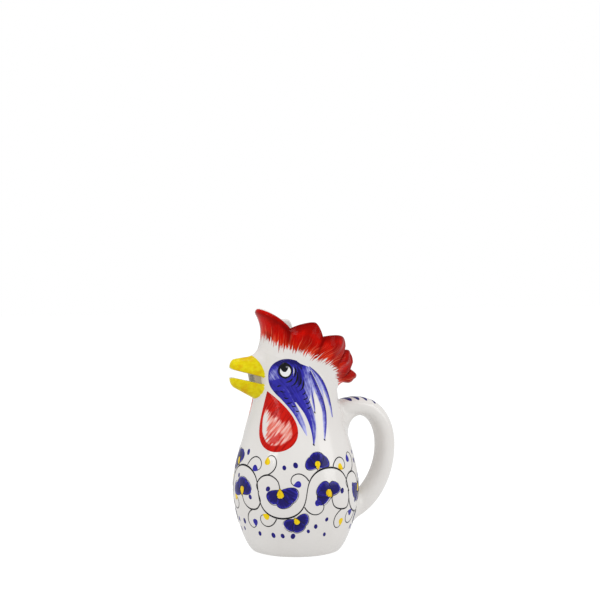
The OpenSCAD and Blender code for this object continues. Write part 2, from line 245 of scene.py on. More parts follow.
class Finish(Tree):
    """A material with a principled shader, and the patterns that the finishes share."""

    def __init__(self, name, roughness=0.13, shine=GLAZE_SHINE):
        self.material = bpy.data.materials.new(name)
        self.material.use_nodes = True
        super().__init__(self.material.node_tree)
        self.inputs = self.nodes["Principled BSDF"].inputs
        self.inputs["Roughness"].default_value = roughness
        self.inputs["Specular IOR Level"].default_value = shine

    def mark(self, name):
        return self.node("Attribute", (), "Fac", attribute_name=name)

    def cloud(self, vector, scale, detail):
        return self.node("TexNoise", {"Vector": vector, "Scale": scale, "Detail": detail}, "Fac")

    def noise(self, scale, detail, x, y, z=0.0):
        """Noise over coordinates; drawn out along one of them, it gives the hairs of a brush."""
        return self.cloud(self.node("CombineXYZ", (x, y, z)), scale, detail)

    def drift(self, scale, detail=2.0):
        """Noise by place on the jug, with a scale per millimetre."""
        return self.cloud(self.node("TexCoord", (), "Object"), scale * 1000, detail)

    def colour(self, value):
        self.put(self.inputs["Base Color"], value)

    def ripple(self, height, distance):
        """Low relief from a height between 0 and 1, as deep as a distance in millimetres."""
        relief = {"Strength": 1.0, "Distance": distance * 0.001, "Height": height}
        self.put(self.inputs["Normal"], self.node("Bump", relief, "Normal"))

    def gloss(self, share, low, high):
        self.put(self.inputs["Roughness"], share.step(0.2, 0.8, low, high))

    def white(self):
        """White that drifts a little from place to place."""
        return self.drift(0.03, 3.0).blend(GLAZE_LIGHT, GLAZE_SHADE)

    def glaze(self):
        """The slow ripple and the uneven polish that every glazed piece has."""
        self.ripple(self.drift(0.05, 1.0), 0.5)
        self.gloss(self.drift(0.2, 3.0), 0.1, 0.18)


print("a finish can be asked for", [name for name in vars(Finish) if name[0] != "_"])

# %% White glaze
white_glaze = Finish("white_glaze")
white_glaze.colour(white_glaze.white())
white_glaze.glaze()
print("finish:", white_glaze.material.name, len(white_glaze.nodes), "nodes")

# %% [markdown]
# The ring under the foot is wiped clean before firing so that it doesn't stick to the kiln shelf. It
# shows the bare clay: matt, buff and a little gritty.

# %% Bare clay
bare_clay = Finish("bare_clay", roughness=0.85)
grit = bare_clay.drift(0.9, 5.0)
bare_clay.colour(grit.blend(srgb(214, 190, 160), srgb(190, 158, 126)))
bare_clay.ripple(grit, 0.08)
print("finish:", bare_clay.material.name)

# %% [markdown]
# ## The body
# The body is one skin: under the foot, up the outside, over the sloping joint that carries the comb,
# down the inside and across the floor. Each column of points is one slice of the profile, so the top
# row can follow the slope of the joint. The pouring slot is then cut through the face with a boolean,
# which is how a potter does it too, with a knife.

# %% Where the comb's joint runs
SEAM_Z, SEAM_SLOPE = 151.0, math.tan(math.radians(24))


def seam_point(angle, inset=0.0):
    """Radius and height where the skin, set in by an inset, meets the joint."""
    rise = SEAM_SLOPE * np.cos(np.radians(angle))
    radius = NECK_R + 0 * rise
    for _ in range(12):
        radius = skin_radius(SEAM_Z + rise * radius) - inset
    return radius, SEAM_Z + rise * radius


front_z, back_z = (float(seam_point(angle)[1]) for angle in (0, 180))
print("joint is", front_z, "mm high in front and", back_z, "at the back")

# %% Turn the body
COLUMNS, EDGE_Z, STRAIGHT_Z, CREASE = 360, 0.7, 120.0, 35
turns = np.arange(COLUMNS) * 360 / COLUMNS
RING_IN = FOOT_R - RING_W
foot = [(RING_IN, RING_DEPTH), (RING_IN, 0.0), (FOOT_R - 1.0, 0.0), (FOOT_R - 0.35, 0.2)]
outer_z = mix(EDGE_Z, STRAIGHT_Z, np.linspace(0, 1, 90) ** 1.5)
inner_z = mix(FLOOR_T, STRAIGHT_Z, np.linspace(1, 0, 60) ** 2)
rows = [around(RING_IN * share, turns, RING_DEPTH) for share in (0.02, 0.5)]
rows += [around(r, turns, z) for r, z in foot]
rows += [around(skin_radius(z), turns, z) for z in outer_z]
for share in np.linspace(0, 1, 36)[1:]:
    height = mix(STRAIGHT_Z, seam_point(turns)[1], share)
    rows.append(around(skin_radius(height), turns, height))
for share in np.linspace(0, 1, 24)[:-1]:
    height = mix(seam_point(turns, WALL)[1], STRAIGHT_Z, share)
    rows.append(around(skin_radius(height) - WALL, turns, height))
rows += [around(hollow_radius(z), turns, z) for z in inner_z]
rows += [around(hollow_radius(FLOOR_T) * share, turns, FLOOR_T) for share in (0.9, 0.6, 0.3, 0.02)]
body = add_piece("body", *loft(np.array(rows)), white_glaze, "white_glaze", "body", sharp=CREASE)

# %% Cut the pouring slot and wipe the foot
SPOUT_W, SPOUT_H, SPOUT_Z, SPOUT_POINTS = 15.0, 5.0, 142.35, 48
KNIFE_ENDS, WIPED_BELOW = (-20.0, -45.0), 0.0001


def circle(count):
    """Turns in radians, evenly round a circle."""
    return np.radians(np.arange(count) * 360 / count)


ends = circle(SPOUT_POINTS) + math.pi / SPOUT_POINTS
slot_y = SPOUT_H / 2 * np.cos(ends) + np.sign(np.cos(ends)) * (SPOUT_W - SPOUT_H) / 2
slot_z = SPOUT_H / 2 * np.sin(ends) + SPOUT_Z
knife_rings = np.array([joined(x, slot_y, slot_z) for x in KNIFE_ENDS])
knife = add_piece("knife", *loft(knife_rings), white_glaze, "white_glaze")
cut = body.modifiers.new("slot", "BOOLEAN")
cut.object, cut.operation, cut.solver = knife, "DIFFERENCE", "EXACT"
cut_mesh = bpy.data.meshes.new_from_object(body.evaluated_get(bpy.context.evaluated_depsgraph_get()))
body.modifiers.clear()
body.data = cut_mesh
bpy.data.objects.remove(knife)
cut_mesh.set_sharp_from_angle(angle=math.radians(CREASE))
cut_mesh.materials.append(bare_clay.material)
for face in cut_mesh.polygons:
    if max(cut_mesh.vertices[v].co.z for v in face.vertices) < WIPED_BELOW:
        face.material_index = 1
print("body after the cut:", len(cut_mesh.polygons), "faces")

# %% [markdown]
# ## The comb
# The comb is a wall of clay pressed into lobes: a front lobe that leans over the beak, three lobes down
# each side and a small one over the handle. Each upright slice of it is a bent strip with a rounded
# edge. How high the strip rises and how far it leans changes round the head, from a notch to a tip and
# back. So one function gives the slice at any angle, and a row of slices one degree apart gives the
# wall. The foot of each slice leaves the head nearly in the head's own direction, so no step shows
# where the comb starts.

# %% Edge of the comb
NOTCH_TURNS, TIP_SHARES = [58, 108, 149, 167], (0.84, 0.84, 0.56)
TIP_TURNS = [0.0, *map(mix, NOTCH_TURNS, NOTCH_TURNS[1:], TIP_SHARES), 180.0]
TIPS = np.array([(30.85, 2.0), (39.5, -2.0), (35.5, 7.0), (25.0, 10.6), (4.0, 18.5)])
BULGES = (0.0, 0.0, 0.8, 2.8, 0.0)
NOTCHES = (TIPS[:-1] + TIPS[1:]) / 2 - [(11.0, 3.5), (8.0, 1.2), (5.5, 2.5), (5.0, 4.2)]
CLIMBS = (1.3, 2.0, 2.0, 1.7)


def comb_edge(angle):
    """The lobe at an angle, the share from notch to tip there, and the edge's rise and lean."""
    lobe = sum(angle > notch for notch in NOTCH_TURNS)
    peak = TIP_TURNS[lobe]
    bulge = 0.0
    if angle <= peak and lobe > 0:
        start, foot_of = NOTCH_TURNS[lobe - 1], NOTCHES[lobe - 1]
        share = 1 - (1 - (angle - start) / (peak - start)) ** CLIMBS[lobe - 1]
    else:
        foot_of = NOTCHES[lobe]
        fall = (angle - peak) / (NOTCH_TURNS[lobe] - peak)
        share = math.sqrt(max(0, 1 - fall**2)) if lobe else max(0, math.cos(math.pi / 2 * fall)) ** 0.7
        bulge = BULGES[lobe] * math.sin(math.pi * share)
    rise = mix(foot_of[0], TIPS[lobe][0], share)
    lean = mix(foot_of[1], TIPS[lobe][1], share if lobe else share**2.5) + bulge
    return lobe, share, rise, lean


print("lobes peak at", [round(turn) for turn in TIP_TURNS], "degrees from the beak")

# %% Bend and swell of a slice
SHEET_T, TURN_SHARE, SWELL_START, SWELL_TOP = np.linspace(0, 1, 30), 0.4, 0.45, 0.78
SWELL = np.where(SHEET_T < SWELL_TOP, smooth((SHEET_T - SWELL_START) / (SWELL_TOP - SWELL_START)),
                 np.cos(np.pi / 2 * (SHEET_T - SWELL_TOP) / (1 - SWELL_TOP)))


def dome(angle, lobe):
    """How far a side lobe is swelled at an angle: 0 in its notches and 1 midway between them."""
    if lobe == 0:
        return 0.0
    start, stop = NOTCH_TURNS[lobe - 1], (NOTCH_TURNS + [360 - NOTCH_TURNS[-1]])[lobe]
    return max(0, math.sin(math.pi * (angle - start) / (stop - start))) ** 0.7


def unit(way):
    return way / np.linalg.norm(way, axis=-1, keepdims=True)


def aside(way):
    """The flat direction at a right angle to another."""
    return joined(way[..., 1], -way[..., 0])


def bow(a, b, c, d, t):
    t = np.asarray(t)[:, None]
    return a * (1 - t) ** 3 + 3 * b * t * (1 - t) ** 2 + 3 * c * t * t * (1 - t) + d * t**3


def strip(start, hold, end, t):
    """A curve that leaves the head nearly in the head's own direction and bends to an end."""
    way = unit(np.array([float(skin_slope(start[1])), 1.0])) * np.linalg.norm(hold - start)
    first = start + mix(way, hold - start, TURN_SHARE) * 2 / 3
    return bow(start, first, end + (hold - end) * 2 / 3, end, t)


print("a lobe swells most at", SWELL_TOP, "of its height")

# %% One slice of the comb
FRONT_PINCH, LOBE_PUFF, SIDE_RIM_T, END_RIM_T = 9.5, 2.4, 4.0, 5.6
SWEEP, SWEEP_FROM, SWEEP_OVER, SWEEP_END = 24, 62, 70, 26
SKIRT, SKIRT_SINK, SKIRT_FROM, SKIRT_OVER = 4.5, 0.1, 150, 20
HOLD_LEAN, HOLD_UP, FRONT_HOLD_UP = 0.45, 0.55, 0.4
RIM_TURNS = np.radians(np.linspace(0, 180, 11)[1:-1])


def back_sweep(angle):
    """Degrees by which a slice's foot lies nearer the beak than its edge: the lobes sweep back."""
    return SWEEP * float(smooth((angle - SWEEP_FROM) / SWEEP_OVER)) * min(1, (180 - angle) / SWEEP_END)


def comb_slice(angle):
    """Radius, height and turn of points up the outside, over the edge and down the inside."""
    lobe, _, rise, lean = comb_edge(angle)
    ahead = math.cos(math.radians(angle))
    fore, aft, rim_t = max(ahead, 0), max(-ahead, 0), mix(SIDE_RIM_T, END_RIM_T, ahead**2)
    base = angle - back_sweep(angle)
    outer, inner, above = (np.array(seam_point(*at)) for at in ((base,), (base, WALL), (angle,)))
    end = above + [lean, rise]
    skirt = SKIRT * float(smooth((angle - SKIRT_FROM) / SKIRT_OVER))
    low = outer[1] - skirt
    foot_of = np.array([float(skin_radius(low)) - SKIRT_SINK * (skirt > 0), low])
    bend = lean * HOLD_LEAN * aft - FRONT_PINCH * fore**2
    hold = (outer + above) / 2 + [bend, rise * mix(HOLD_UP, FRONT_HOLD_UP, fore)]
    way = unit(end - hold)
    across = aside(way)
    inner_end = end - across * rim_t
    puff = LOBE_PUFF * dome(angle, lobe) * SWELL
    outside = strip(foot_of, hold, end, SHEET_T) + np.outer(puff, across)
    over = np.outer(np.cos(RIM_TURNS), across) + np.outer(np.sin(RIM_TURNS), way)
    rim = (end + inner_end) / 2 + rim_t / 2 * over
    inside = strip(inner, hold - [WALL, 0], inner_end, SHEET_T[::-1])
    turns_on = mix(base, angle, np.concatenate([SHEET_T, np.ones(len(RIM_TURNS)), SHEET_T[::-1]]))
    return np.column_stack([np.concatenate([outside, rim, inside]), turns_on])


print("comb rises to", max(comb_slice(a)[:, 1].max() for a in range(0, 181, 2)), "mm")

# %% [markdown]
# The red is brushed on from the edge downwards, so its lower border is ragged and each streak ends
# where the brush ran dry. The border is a list of heights round the head. The streaks are upright over
# the beak and sweep back towards the tail, so a mark called stroke slants with them. Noise drawn out
# along that mark gives the bristles. A dark red is laid in the creases and along and under the rounded
# edge as painted shade.

# %% Red comb glaze
RED_DARK, RED_MAIN, RED_THIN = srgb(122, 2, 0), srgb(198, 12, 2), srgb(218, 54, 20)
RED_DRY = srgb(236, 138, 104)

red_glaze = Finish("red_glaze", roughness=0.1, shine=0.05)
above, stroke = red_glaze.mark("above"), red_glaze.mark("stroke")
bristle = red_glaze.noise(0.27, 2.0, stroke, above * 0.04)
fine_bristle = red_glaze.noise(0.9, 2.0, stroke, above * 0.05, 7.0)
reach = above + bristle * 20.0 + fine_bristle * 14.0
covered = reach.step(16.5, 17.9) * red_glaze.mark("inside").step(0.5, 0.56, 1.0, 0.0)
tint = reach.step(16.5, 26.0).blend(RED_THIN, RED_MAIN)
tint = fine_bristle.step(0.44, 0.72, 0.0, 0.42).blend(tint, RED_DARK)
tint = red_glaze.drift(0.085).step(0.4, 0.6, 0.0, 0.5).blend(tint, RED_DARK)
dry_hairs = fine_bristle.step(0.3, 0.42, 0.7, 0.0) * above.step(2.0, 15.0, 1.0, 0.0)
# Painted shade: this mark darkens the creases and the rim of each lobe towards RED_DARK.
tint = red_glaze.mark("crease").blend(dry_hairs.blend(tint, RED_DRY), RED_DARK)
red_glaze.colour(covered.blend(red_glaze.white(), tint))
red_glaze.ripple(red_glaze.drift(0.12), 0.4)
red_glaze.gloss(bristle, 0.09, 0.17)
print("finish:", red_glaze.material.name, len(red_glaze.nodes), "nodes")

# %% Build the comb
RED_EDGE = [(0, 11.5), (25, 10), (40, 8.5), (58, 10), (78, 11.5), (97, 11), (112, 9.5), (125, 11),
            (143, 10), (158, 6.5), (170, 3.5), (180, 3)]
COMB_STRETCHES = {
    "comb_front": np.arange(-58, 59), "comb_left": np.arange(58, 168),
    "comb_right": np.arange(-167, -57), "comb_back": np.arange(167, 194),
}


def band(value, middle, width):
    """1 in the middle of a band, fading out to both sides of it."""
    return np.exp(-(((value - middle) / width) ** 2))


for name, angles in COMB_STRETCHES.items():
    folded = np.array([abs((a + 180) % 360 - 180) for a in angles])
    slices = [comb_slice(a) for a in folded]
    mirrored = [1 if 0 <= a <= 180 else -1 for a in angles]
    rings = np.array([around(s[:, 0], a + m * (s[:, 2] - f), s[:, 1])
                      for s, a, m, f in zip(slices, angles, mirrored, folded)])
    inside = np.concatenate([0 * SHEET_T, RIM_TURNS / np.pi, 0 * SHEET_T + 1])
    height = np.array([s[:, 1] - s[0, 1] for s in slices])
    above = height - np.interp(folded, *np.transpose(RED_EDGE))[:, None]
    up = height / height.max(axis=1, keepdims=True)
    lobes, shares = np.array([comb_edge(a)[:2] for a in folded]).T[:, :, None]
    falling = folded[:, None] > np.take(TIP_TURNS, lobes.astype(int))
    front = folded[:, None] < NOTCH_TURNS[0]
    # Painted shade: a band under the front lobe's rounded edge, a band along the side lobes' edges, and
    # the creases.
    rim_painted_shade = np.where(front, 0.6, 0.25) * band(up, 0.88, 0.07)
    rim_painted_shade += np.where(front, 0, 0.95) * band(up, 1, 0.08)
    crease = band(shares, 0, np.where(falling, 0.34, 0.1)) * smooth((up - 0.3) / 0.4)
    sweep = 1.3 * smooth((folded - 40) / 70)[:, None]
    marks = {
        "above": above,
        "stroke": folded[:, None] - sweep * np.clip(above, -20, 10),
        "inside": np.broadcast_to(inside, height.shape),
        "crease": np.clip(0.85 * crease + rim_painted_shade, 0, 1),
    }
    add_piece(name, *loft(rings), red_glaze, "red_glaze", name, marks)

# %% [markdown]
# ## The beak
# Both halves of the beak are pulled from soft clay and pressed onto the face, so they swell into it
# with a fillet. Each half is drawn as long lines from the face to the tip. Every line starts exactly
# where it meets the head or the comb above it. Near the face the line is pushed outwards on a quarter
# circle, which makes the fillet, and its distance from the face is kept, so the edge of the fillet lies
# on the glaze.

# %% Fillet helper
FACE_SLICES = [comb_slice(a)[: len(SHEET_T)] for a in range(46)]


def face_radius(angle, z):
    """Radius of the outside, head or front of the comb, at an angle and a height."""
    radius = skin_radius(z)
    near = np.minimum(np.round(np.abs(angle)).astype(int), 45)
    for index in np.ndindex(radius.shape):
        outer = FACE_SLICES[near[index]]
        if z[index] > outer[0, 1]:
            radius[index] = np.interp(z[index], outer[:, 1], outer[:, 0])
    return radius


def off_skin(points, radius_at):
    """Angle from the beak, and distance outside the skin, of each point."""
    angle = np.degrees(np.arctan2(-points[..., 1], -points[..., 0]))
    return angle, np.hypot(points[..., 0], points[..., 1]) - radius_at(angle, points[..., 2])


def first_outside(lines, count, radius_at, sink=0.25):
    """For each of a count of lines, the share of its length where it comes out of the skin."""
    t = np.linspace(0, 0.6, 241)
    points, _ = lines(np.tile(t[:, None], count))
    outside = off_skin(points, radius_at)[1] > -sink
    return t[np.maximum(outside.argmax(axis=0) - 1, 0)]


def eased(count):
    """Shares from 0 to 1 in a column, close together at both ends."""
    return (1 - np.cos(np.pi * np.linspace(0, 1, count)))[:, None] / 2


def fillet(points, ways, sizes, radius_at):
    """Push points near the skin outwards along their ways, on a quarter circle of each size."""
    _, off = off_skin(points, radius_at)
    past = 1 - np.clip(off / sizes, 0, 1)
    pushed = points + ways * (sizes * (1 - np.sqrt(1 - past**2)))[..., None]
    angle, _ = off_skin(pushed, radius_at)
    seated = around(radius_at(angle, pushed[..., 2]) + off, angle, pushed[..., 2])
    return np.where((past > 0)[..., None], seated, points), off


print("the face is known at", len(FACE_SLICES), "angles on each side")

# %% Lines of a beak half
BEAK_ROOT, BEAK_REACH, BEAK_W, BEAK_TIP_W = NECK_R - WALL, 58.0, 23.0, 10.0
MOUTH_Z, GAPE_Z, MOUTH_GAP, GAPE_GAP = 141.2, 148.5, 5.2, 6.2
LIP_R, TIP_SHARE = 1.4, 0.87
DOME_TURNS = np.radians(np.linspace(0, 180, 41))
LIP_ACROSS = np.sin(np.radians(np.linspace(-90, 90, 33)[1:-1]))


def beak_half_width(t):
    return mix(BEAK_W, BEAK_TIP_W, t) / 2


def beak_edge(side, t):
    """Height of the edge that a half turns to the mouth. Side 1 is the upper half, -1 the lower."""
    return mix(MOUTH_Z, GAPE_Z, t) + side * mix(MOUTH_GAP, GAPE_GAP, t) / 2


class BeakLines:
    """Long lines over one half of the beak: over its dome, then back along the side of the mouth."""

    def __init__(self, side, root_h, tip_h, taper):
        self.side, self.root_h, self.tip_h, self.taper = side, root_h, tip_h, taper
        self.count = len(DOME_TURNS) + len(LIP_ACROSS)
        self.on_dome = np.arange(self.count) < len(DOME_TURNS)
        self.across = np.concatenate([np.cos(DOME_TURNS), LIP_ACROSS])
        self.up = np.concatenate([np.sin(DOME_TURNS), -((1 - LIP_ACROSS**4) ** 0.25)]) * side

    def __call__(self, t):
        """Points at shares t of the length, one column per line, and the ways out of the section."""
        past = np.clip(t - TIP_SHARE, 0, None) / (1 - TIP_SHARE)
        close = np.sqrt(1 - past**2)
        height = mix(self.root_h, self.tip_h, t**self.taper)
        tall = np.where(self.on_dome, height - LIP_R, LIP_R) * close
        y = beak_half_width(t) * close * self.across
        z = beak_edge(self.side, t) + self.side * LIP_R + tall * self.up
        return joined(-mix(BEAK_ROOT, BEAK_REACH, t), y, z), joined(0 * t, self.across, self.up)


print("beak opens to", float(beak_edge(1, 1) - beak_edge(-1, 1)), "mm at the tips")

# %% [markdown]
# The yellow is washed on by hand and is nowhere even: thin where the white shows through, orange where
# it pooled. It stops at the fillet, so a mark gives each point's distance past that border, and a
# little noise makes the border hand-drawn. The inside of the mouth stays white.

# %% Yellow beak glaze
yellow_glaze = Finish("yellow_glaze", roughness=0.2, shine=0.1)
mottle = yellow_glaze.drift(0.32, 4.0)
wash = mottle.step(0.35, 0.65).blend(srgb(228, 213, 24), srgb(218, 197, 2))
wash = yellow_glaze.drift(0.11).step(0.5, 0.72, 0.0, 0.7).blend(wash, srgb(218, 164, 6))
painted = (yellow_glaze.mark("past_border") + mottle).step(0.35, 0.75)
yellow_glaze.colour(painted.blend(yellow_glaze.white(), wash))
yellow_glaze.ripple(yellow_glaze.drift(0.22), 0.35)
yellow_glaze.gloss(mottle, 0.16, 0.3)
print("finish:", yellow_glaze.material.name)

# %% Build the beak
BEAK_HALVES = {
    "upper_beak": (BeakLines(side=1, root_h=17.3, tip_h=7.4, taper=1.35),
                   dict(over=10.5, beside=2.5, bare=6.5)),
    "lower_beak": (BeakLines(side=-1, root_h=16.0, tip_h=7.0, taper=1.0),
                   dict(over=2.0, beside=2.0, bare=1.8)),
}
LIP_FILLET, LAST_RING = 0.8, 0.99995
for name, (lines, edge) in BEAK_HALVES.items():
    points, ways = lines(mix(first_outside(lines, lines.count, face_radius), LAST_RING, eased(56)))
    crown = np.where(lines.on_dome, np.abs(lines.up) ** 2, 0)
    sizes = np.where(lines.on_dome, mix(edge["beside"], edge["over"], crown), LIP_FILLET)
    rings, off = fillet(points, ways, np.broadcast_to(sizes, points.shape[:2]), face_radius)
    wet = np.where(lines.on_dome, off - mix(0.2, edge["bare"], crown), (np.abs(lines.across) - 0.8) * 8)
    add_piece(name, *loft(rings), yellow_glaze, "yellow_glaze", name, {"past_border": wet}, sharp=70)

# %% [markdown]
# The corners of the mouth are closed by two low cheeks of white clay between the halves, set in from
# the beak's sides. They are thin walls that lean forward, and their ends are hidden inside the halves.
# Their outer faces are coloured a greyer, warmer white as painted shade, since they sit recessed
# between the halves, and lighter near the face. Their inner faces are coloured whiter than the glaze,
# as painted light.

# %% Cheeks in the corners of the mouth
mouth_painted_shade_glaze = Finish("mouth_painted_shade_glaze")
# Painted shade: the outer faces of the cheeks are a dark beige, lighter near the face.
painted_mouth_shade = mouth_painted_shade_glaze.drift(0.3, 3.0).blend(srgb(182, 170, 146), srgb(160, 148, 122))
painted_mouth_shade = mouth_painted_shade_glaze.mark("along").step(3.6, 4.4, 1.0, 0.0).blend(painted_mouth_shade, srgb(222, 214, 196))
# Painted light: the inner faces are whiter than the white glaze.
mouth_painted_shade_glaze.colour(mouth_painted_shade_glaze.mark("inner").blend(painted_mouth_shade, srgb(250, 246, 234)))
mouth_painted_shade_glaze.glaze()

CHEEK_LEN, CHEEK_T, CHEEK_INSET, CHEEK_RAKE, CHEEK_SINK, CHEEK_ROWS = 9.0, 2.0, 1.6, 1.5, 1.2, 9
up_share = np.linspace(0, 1, CHEEK_ROWS)
round_end = np.sin(np.radians((30, 60, 85)))
stations = np.append(np.linspace(2, CHEEK_LEN - 1, 12), CHEEK_LEN - 1 + round_end)
for name, side in (("cheek_left", -1), ("cheek_right", 1)):
    rings = []
    for along in stations:
        t = along / (BEAK_REACH - BEAK_ROOT)
        thin = math.sqrt(max(0, 1 - max(along - CHEEK_LEN + 1, 0) ** 2))
        middle = beak_half_width(t) - CHEEK_INSET - CHEEK_T / 2
        x = -BEAK_ROOT - along - CHEEK_RAKE * along / CHEEK_LEN * up_share
        z = mix(beak_edge(-1, t) - CHEEK_SINK, beak_edge(1, t) + CHEEK_SINK, up_share)
        outer, inner = (joined(x, side * (middle + half * thin * CHEEK_T), z) for half in (0.5, -0.5))
        rings.append(np.concatenate([outer, inner[::-1]]))
    marks = {"inner": np.tile(np.repeat([0.0, 1.0], CHEEK_ROWS), len(rings)),
             "along": np.repeat(stations, 2 * CHEEK_ROWS)}
    add_piece(name, *loft(np.array(rings)), mouth_painted_shade_glaze, "white_glaze", name, marks)

# %% [markdown]
# ## The wattles
# A wattle is a flat drop of clay pressed onto the throat, its point towards the beak. It is built as
# rings that shrink from the outline to the middle, lifted off the skin like a low pillow. The painter
# ringed it in red and pulled loose strokes in from the top, leaving the side towards the beak white, so
# its marks are its own flat coordinates: side, up and how far out a point lies.

# %% Red and white wattle glaze
WATTLE_RED, WATTLE_DEEP = srgb(202, 22, 8), srgb(150, 4, 2)
WATTLE_PINK, WATTLE_BLUSH = srgb(222, 104, 88), srgb(240, 190, 180)

wattle_glaze = Finish("wattle_glaze", shine=0.14)
w_side, w_up, w_out = (wattle_glaze.mark(m) for m in ("side", "up", "out"))
down_stroke, over_stroke = w_side * 0.85 + w_up * 0.53, w_side * 0.53 + w_up * -0.85
hairs = wattle_glaze.noise(0.55, 3.0, over_stroke, down_stroke * 0.14)
wobble = wattle_glaze.noise(0.14, 2.0, w_side, w_up)
ring_in = w_side.step(-8.0, 9.0, 0.68, 0.67) + w_up.step(-18.0, -8.0, 0.05, 0.0) + wobble * 0.12
front_edge = w_side.step(-6.0, -2.0, 1.0, 0.0) * w_out.step(0.84, 0.9)
ring = (w_out - ring_in).step(-0.02, 0.04) - front_edge * wattle_glaze.mark("white_margin")
brushed_in = (w_side + w_up * -0.35 + hairs * 14.0).step(0.2, 2.4)
brushed_in = brushed_in.larger((w_up + hairs * 12.0).step(13.0, 15.5))
top_red = (w_side * 1.6 + w_up + hairs * 26.0).step(14.0, 20.0) * (w_up + hairs * 10.0).step(-4.0, 1.0)
blotch_side, blotch_up = w_side * 0.16 + 0.5, w_up * 0.21 + 3.0
blotch = blotch_side * blotch_side + blotch_up * blotch_up + hairs * -5.0
low_red = blotch.step(-2.3, -0.9, 0.95, 0.0)
wash = hairs.step(0.36, 0.62).blend(WATTLE_BLUSH, WATTLE_PINK)
wash = top_red.larger(low_red).blend(wash, WATTLE_RED)
shade = ring.blend(brushed_in.blend(wattle_glaze.white(), wash), WATTLE_RED)
deep = (hairs.step(0.46, 0.64) * ring.larger(top_red)).larger(w_up.step(17.0, 24.0))
wattle_glaze.colour((deep * 0.75).blend(shade, WATTLE_DEEP))
wattle_glaze.glaze()
print("finish:", wattle_glaze.material.name, len(wattle_glaze.nodes), "nodes")

# %% Build the wattles
WATTLE_W, WATTLE_H, WATTLE_T, WATTLE_Z, WATTLE_TURN = 32.0, 50.5, 0.9, 111.0, 41.0
WATTLE_SLANT, WATTLE_SINK = math.radians(25), 0.3
SIDES = ("left", 1), ("right", -1)
drop_turns = circle(128)
drop_side = np.sin(drop_turns) * np.abs(np.sin(drop_turns / 2)) ** 0.9
outline = joined(drop_side / drop_side.max() * WATTLE_W / 2, np.cos(drop_turns) * WATTLE_H / 2)
outs = np.sin(np.linspace(0.02, 1, 22) * np.pi / 2)
lifts = WATTLE_T * (1 - outs**3.2) ** 0.45
for side_name, hand_side in SIDES:
    rings, flat = [], []
    for out, lift in [(out, -WATTLE_SINK) for out in outs[::3]] + list(zip(outs[::-1], lifts[::-1])):
        side, up = (outline * out).T
        z = WATTLE_Z + up * math.cos(WATTLE_SLANT) + side * math.sin(WATTLE_SLANT)
        along = side * math.cos(WATTLE_SLANT) - up * math.sin(WATTLE_SLANT)
        angle = WATTLE_TURN + np.degrees(along / float(skin_radius(WATTLE_Z)))
        rings.append(on_skin(hand_side * angle, z, lift))
        flat.append(joined(side, up, out))
    marks = dict(zip(("side", "up", "out"), np.moveaxis(np.array(flat), -1, 0)))
    marks["white_margin"] = np.full(marks["out"].shape, float(hand_side < 0))
    name = "wattle_" + side_name
    add_piece(name, *loft(np.array(rings)), wattle_glaze, "wattle_glaze", name, marks)

# %% [markdown]
# ## The handle
# The strap is pulled from a lump of clay, bent into a loop and smoothed onto the neck and the belly.
# Its middle line is one cubic curve, and its section is a rounded rectangle that thickens towards both
# ends. Lines run along the strap from skin to skin, with the same fillet as the beak where they meet
# the body.

# %% Line and section of the strap
HANDLE_REACH, HANDLE_TOP, HANDLE_LOW, HANDLE_LIFT, HANDLE_DROP = 81.45, 112.5, 29.0, 27.0, 14.0
STRAP_W, STRAP_T, SWELL_AT_TOP, SWELL_AT_FOOT, SWELL_LENGTH = 21.0, 15.0, 0.5, 3.0, 0.45
handle_start, handle_end = (np.array([float(skin_radius(z)) - WALL, z])
                            for z in (HANDLE_TOP, HANDLE_LOW))
pull = (8 * HANDLE_REACH - handle_start[0] - handle_end[0]) / 6
handle_bends = np.array([[pull, HANDLE_TOP + HANDLE_LIFT], [pull, HANDLE_LOW + HANDLE_DROP]])


def handle_line(t):
    """Middle of the strap and its outward normal, in the plane of the jug's axis."""
    middle, ahead, behind = (bow(handle_start, *handle_bends, handle_end, t + step)
                             for step in (0, 0.002, -0.002))
    return middle, aside(unit(behind - ahead))


def squared(value, power=0.85):
    return np.sign(value) * np.abs(value) ** power


def strap_points(shares, section, lift=0.0):
    """Points at shares along the strap and turns round its section, and the ways out of it there."""
    middle, normal = (a.reshape(*shares.shape, 2) for a in handle_line(shares.ravel()))
    swell = SWELL_AT_TOP * smooth(1 - shares / SWELL_LENGTH)
    swell = swell + SWELL_AT_FOOT * smooth(1 - (1 - shares) / SWELL_LENGTH)
    flat = middle + normal * (((STRAP_T + swell) / 2 + lift) * squared(np.sin(section)))[..., None]
    y = (STRAP_W / 2 + lift) * squared(np.cos(section))
    up, side = normal * np.sin(section)[..., None], np.cos(section)
    return tuple(joined(a[..., 0], b, a[..., 1]) for a, b in ((flat, y), (up, side)))


print("handle reaches", HANDLE_REACH, "mm from the axis with the middle of its strap")

# %% Build the handle
FILLET_TOP, FILLET_UNDER_TOP, FILLET_FOOT, FILLET_UNDER_FOOT = 3.5, 22.5, 9.0, 6.0
STRAP_COUNT = 56


def head_radius(angle, z):
    return skin_radius(z)


section = circle(STRAP_COUNT)
leaves = first_outside(lambda t: strap_points(t, section), STRAP_COUNT, head_radius)
returns = 1 - first_outside(lambda t: strap_points(1 - t, section), STRAP_COUNT, head_radius)
t = mix(leaves, returns, eased(140))
underside = np.clip(-np.sin(section), 0, 1) ** 1.5
at_top = mix(FILLET_TOP, FILLET_UNDER_TOP, underside)
at_foot = mix(FILLET_FOOT, FILLET_UNDER_FOOT, underside)
rings, _ = fillet(*strap_points(t, section), mix(at_top, at_foot, smooth(t)), head_radius)
add_piece("handle", *loft(rings), white_glaze, "white_glaze", "handle", sharp=70)

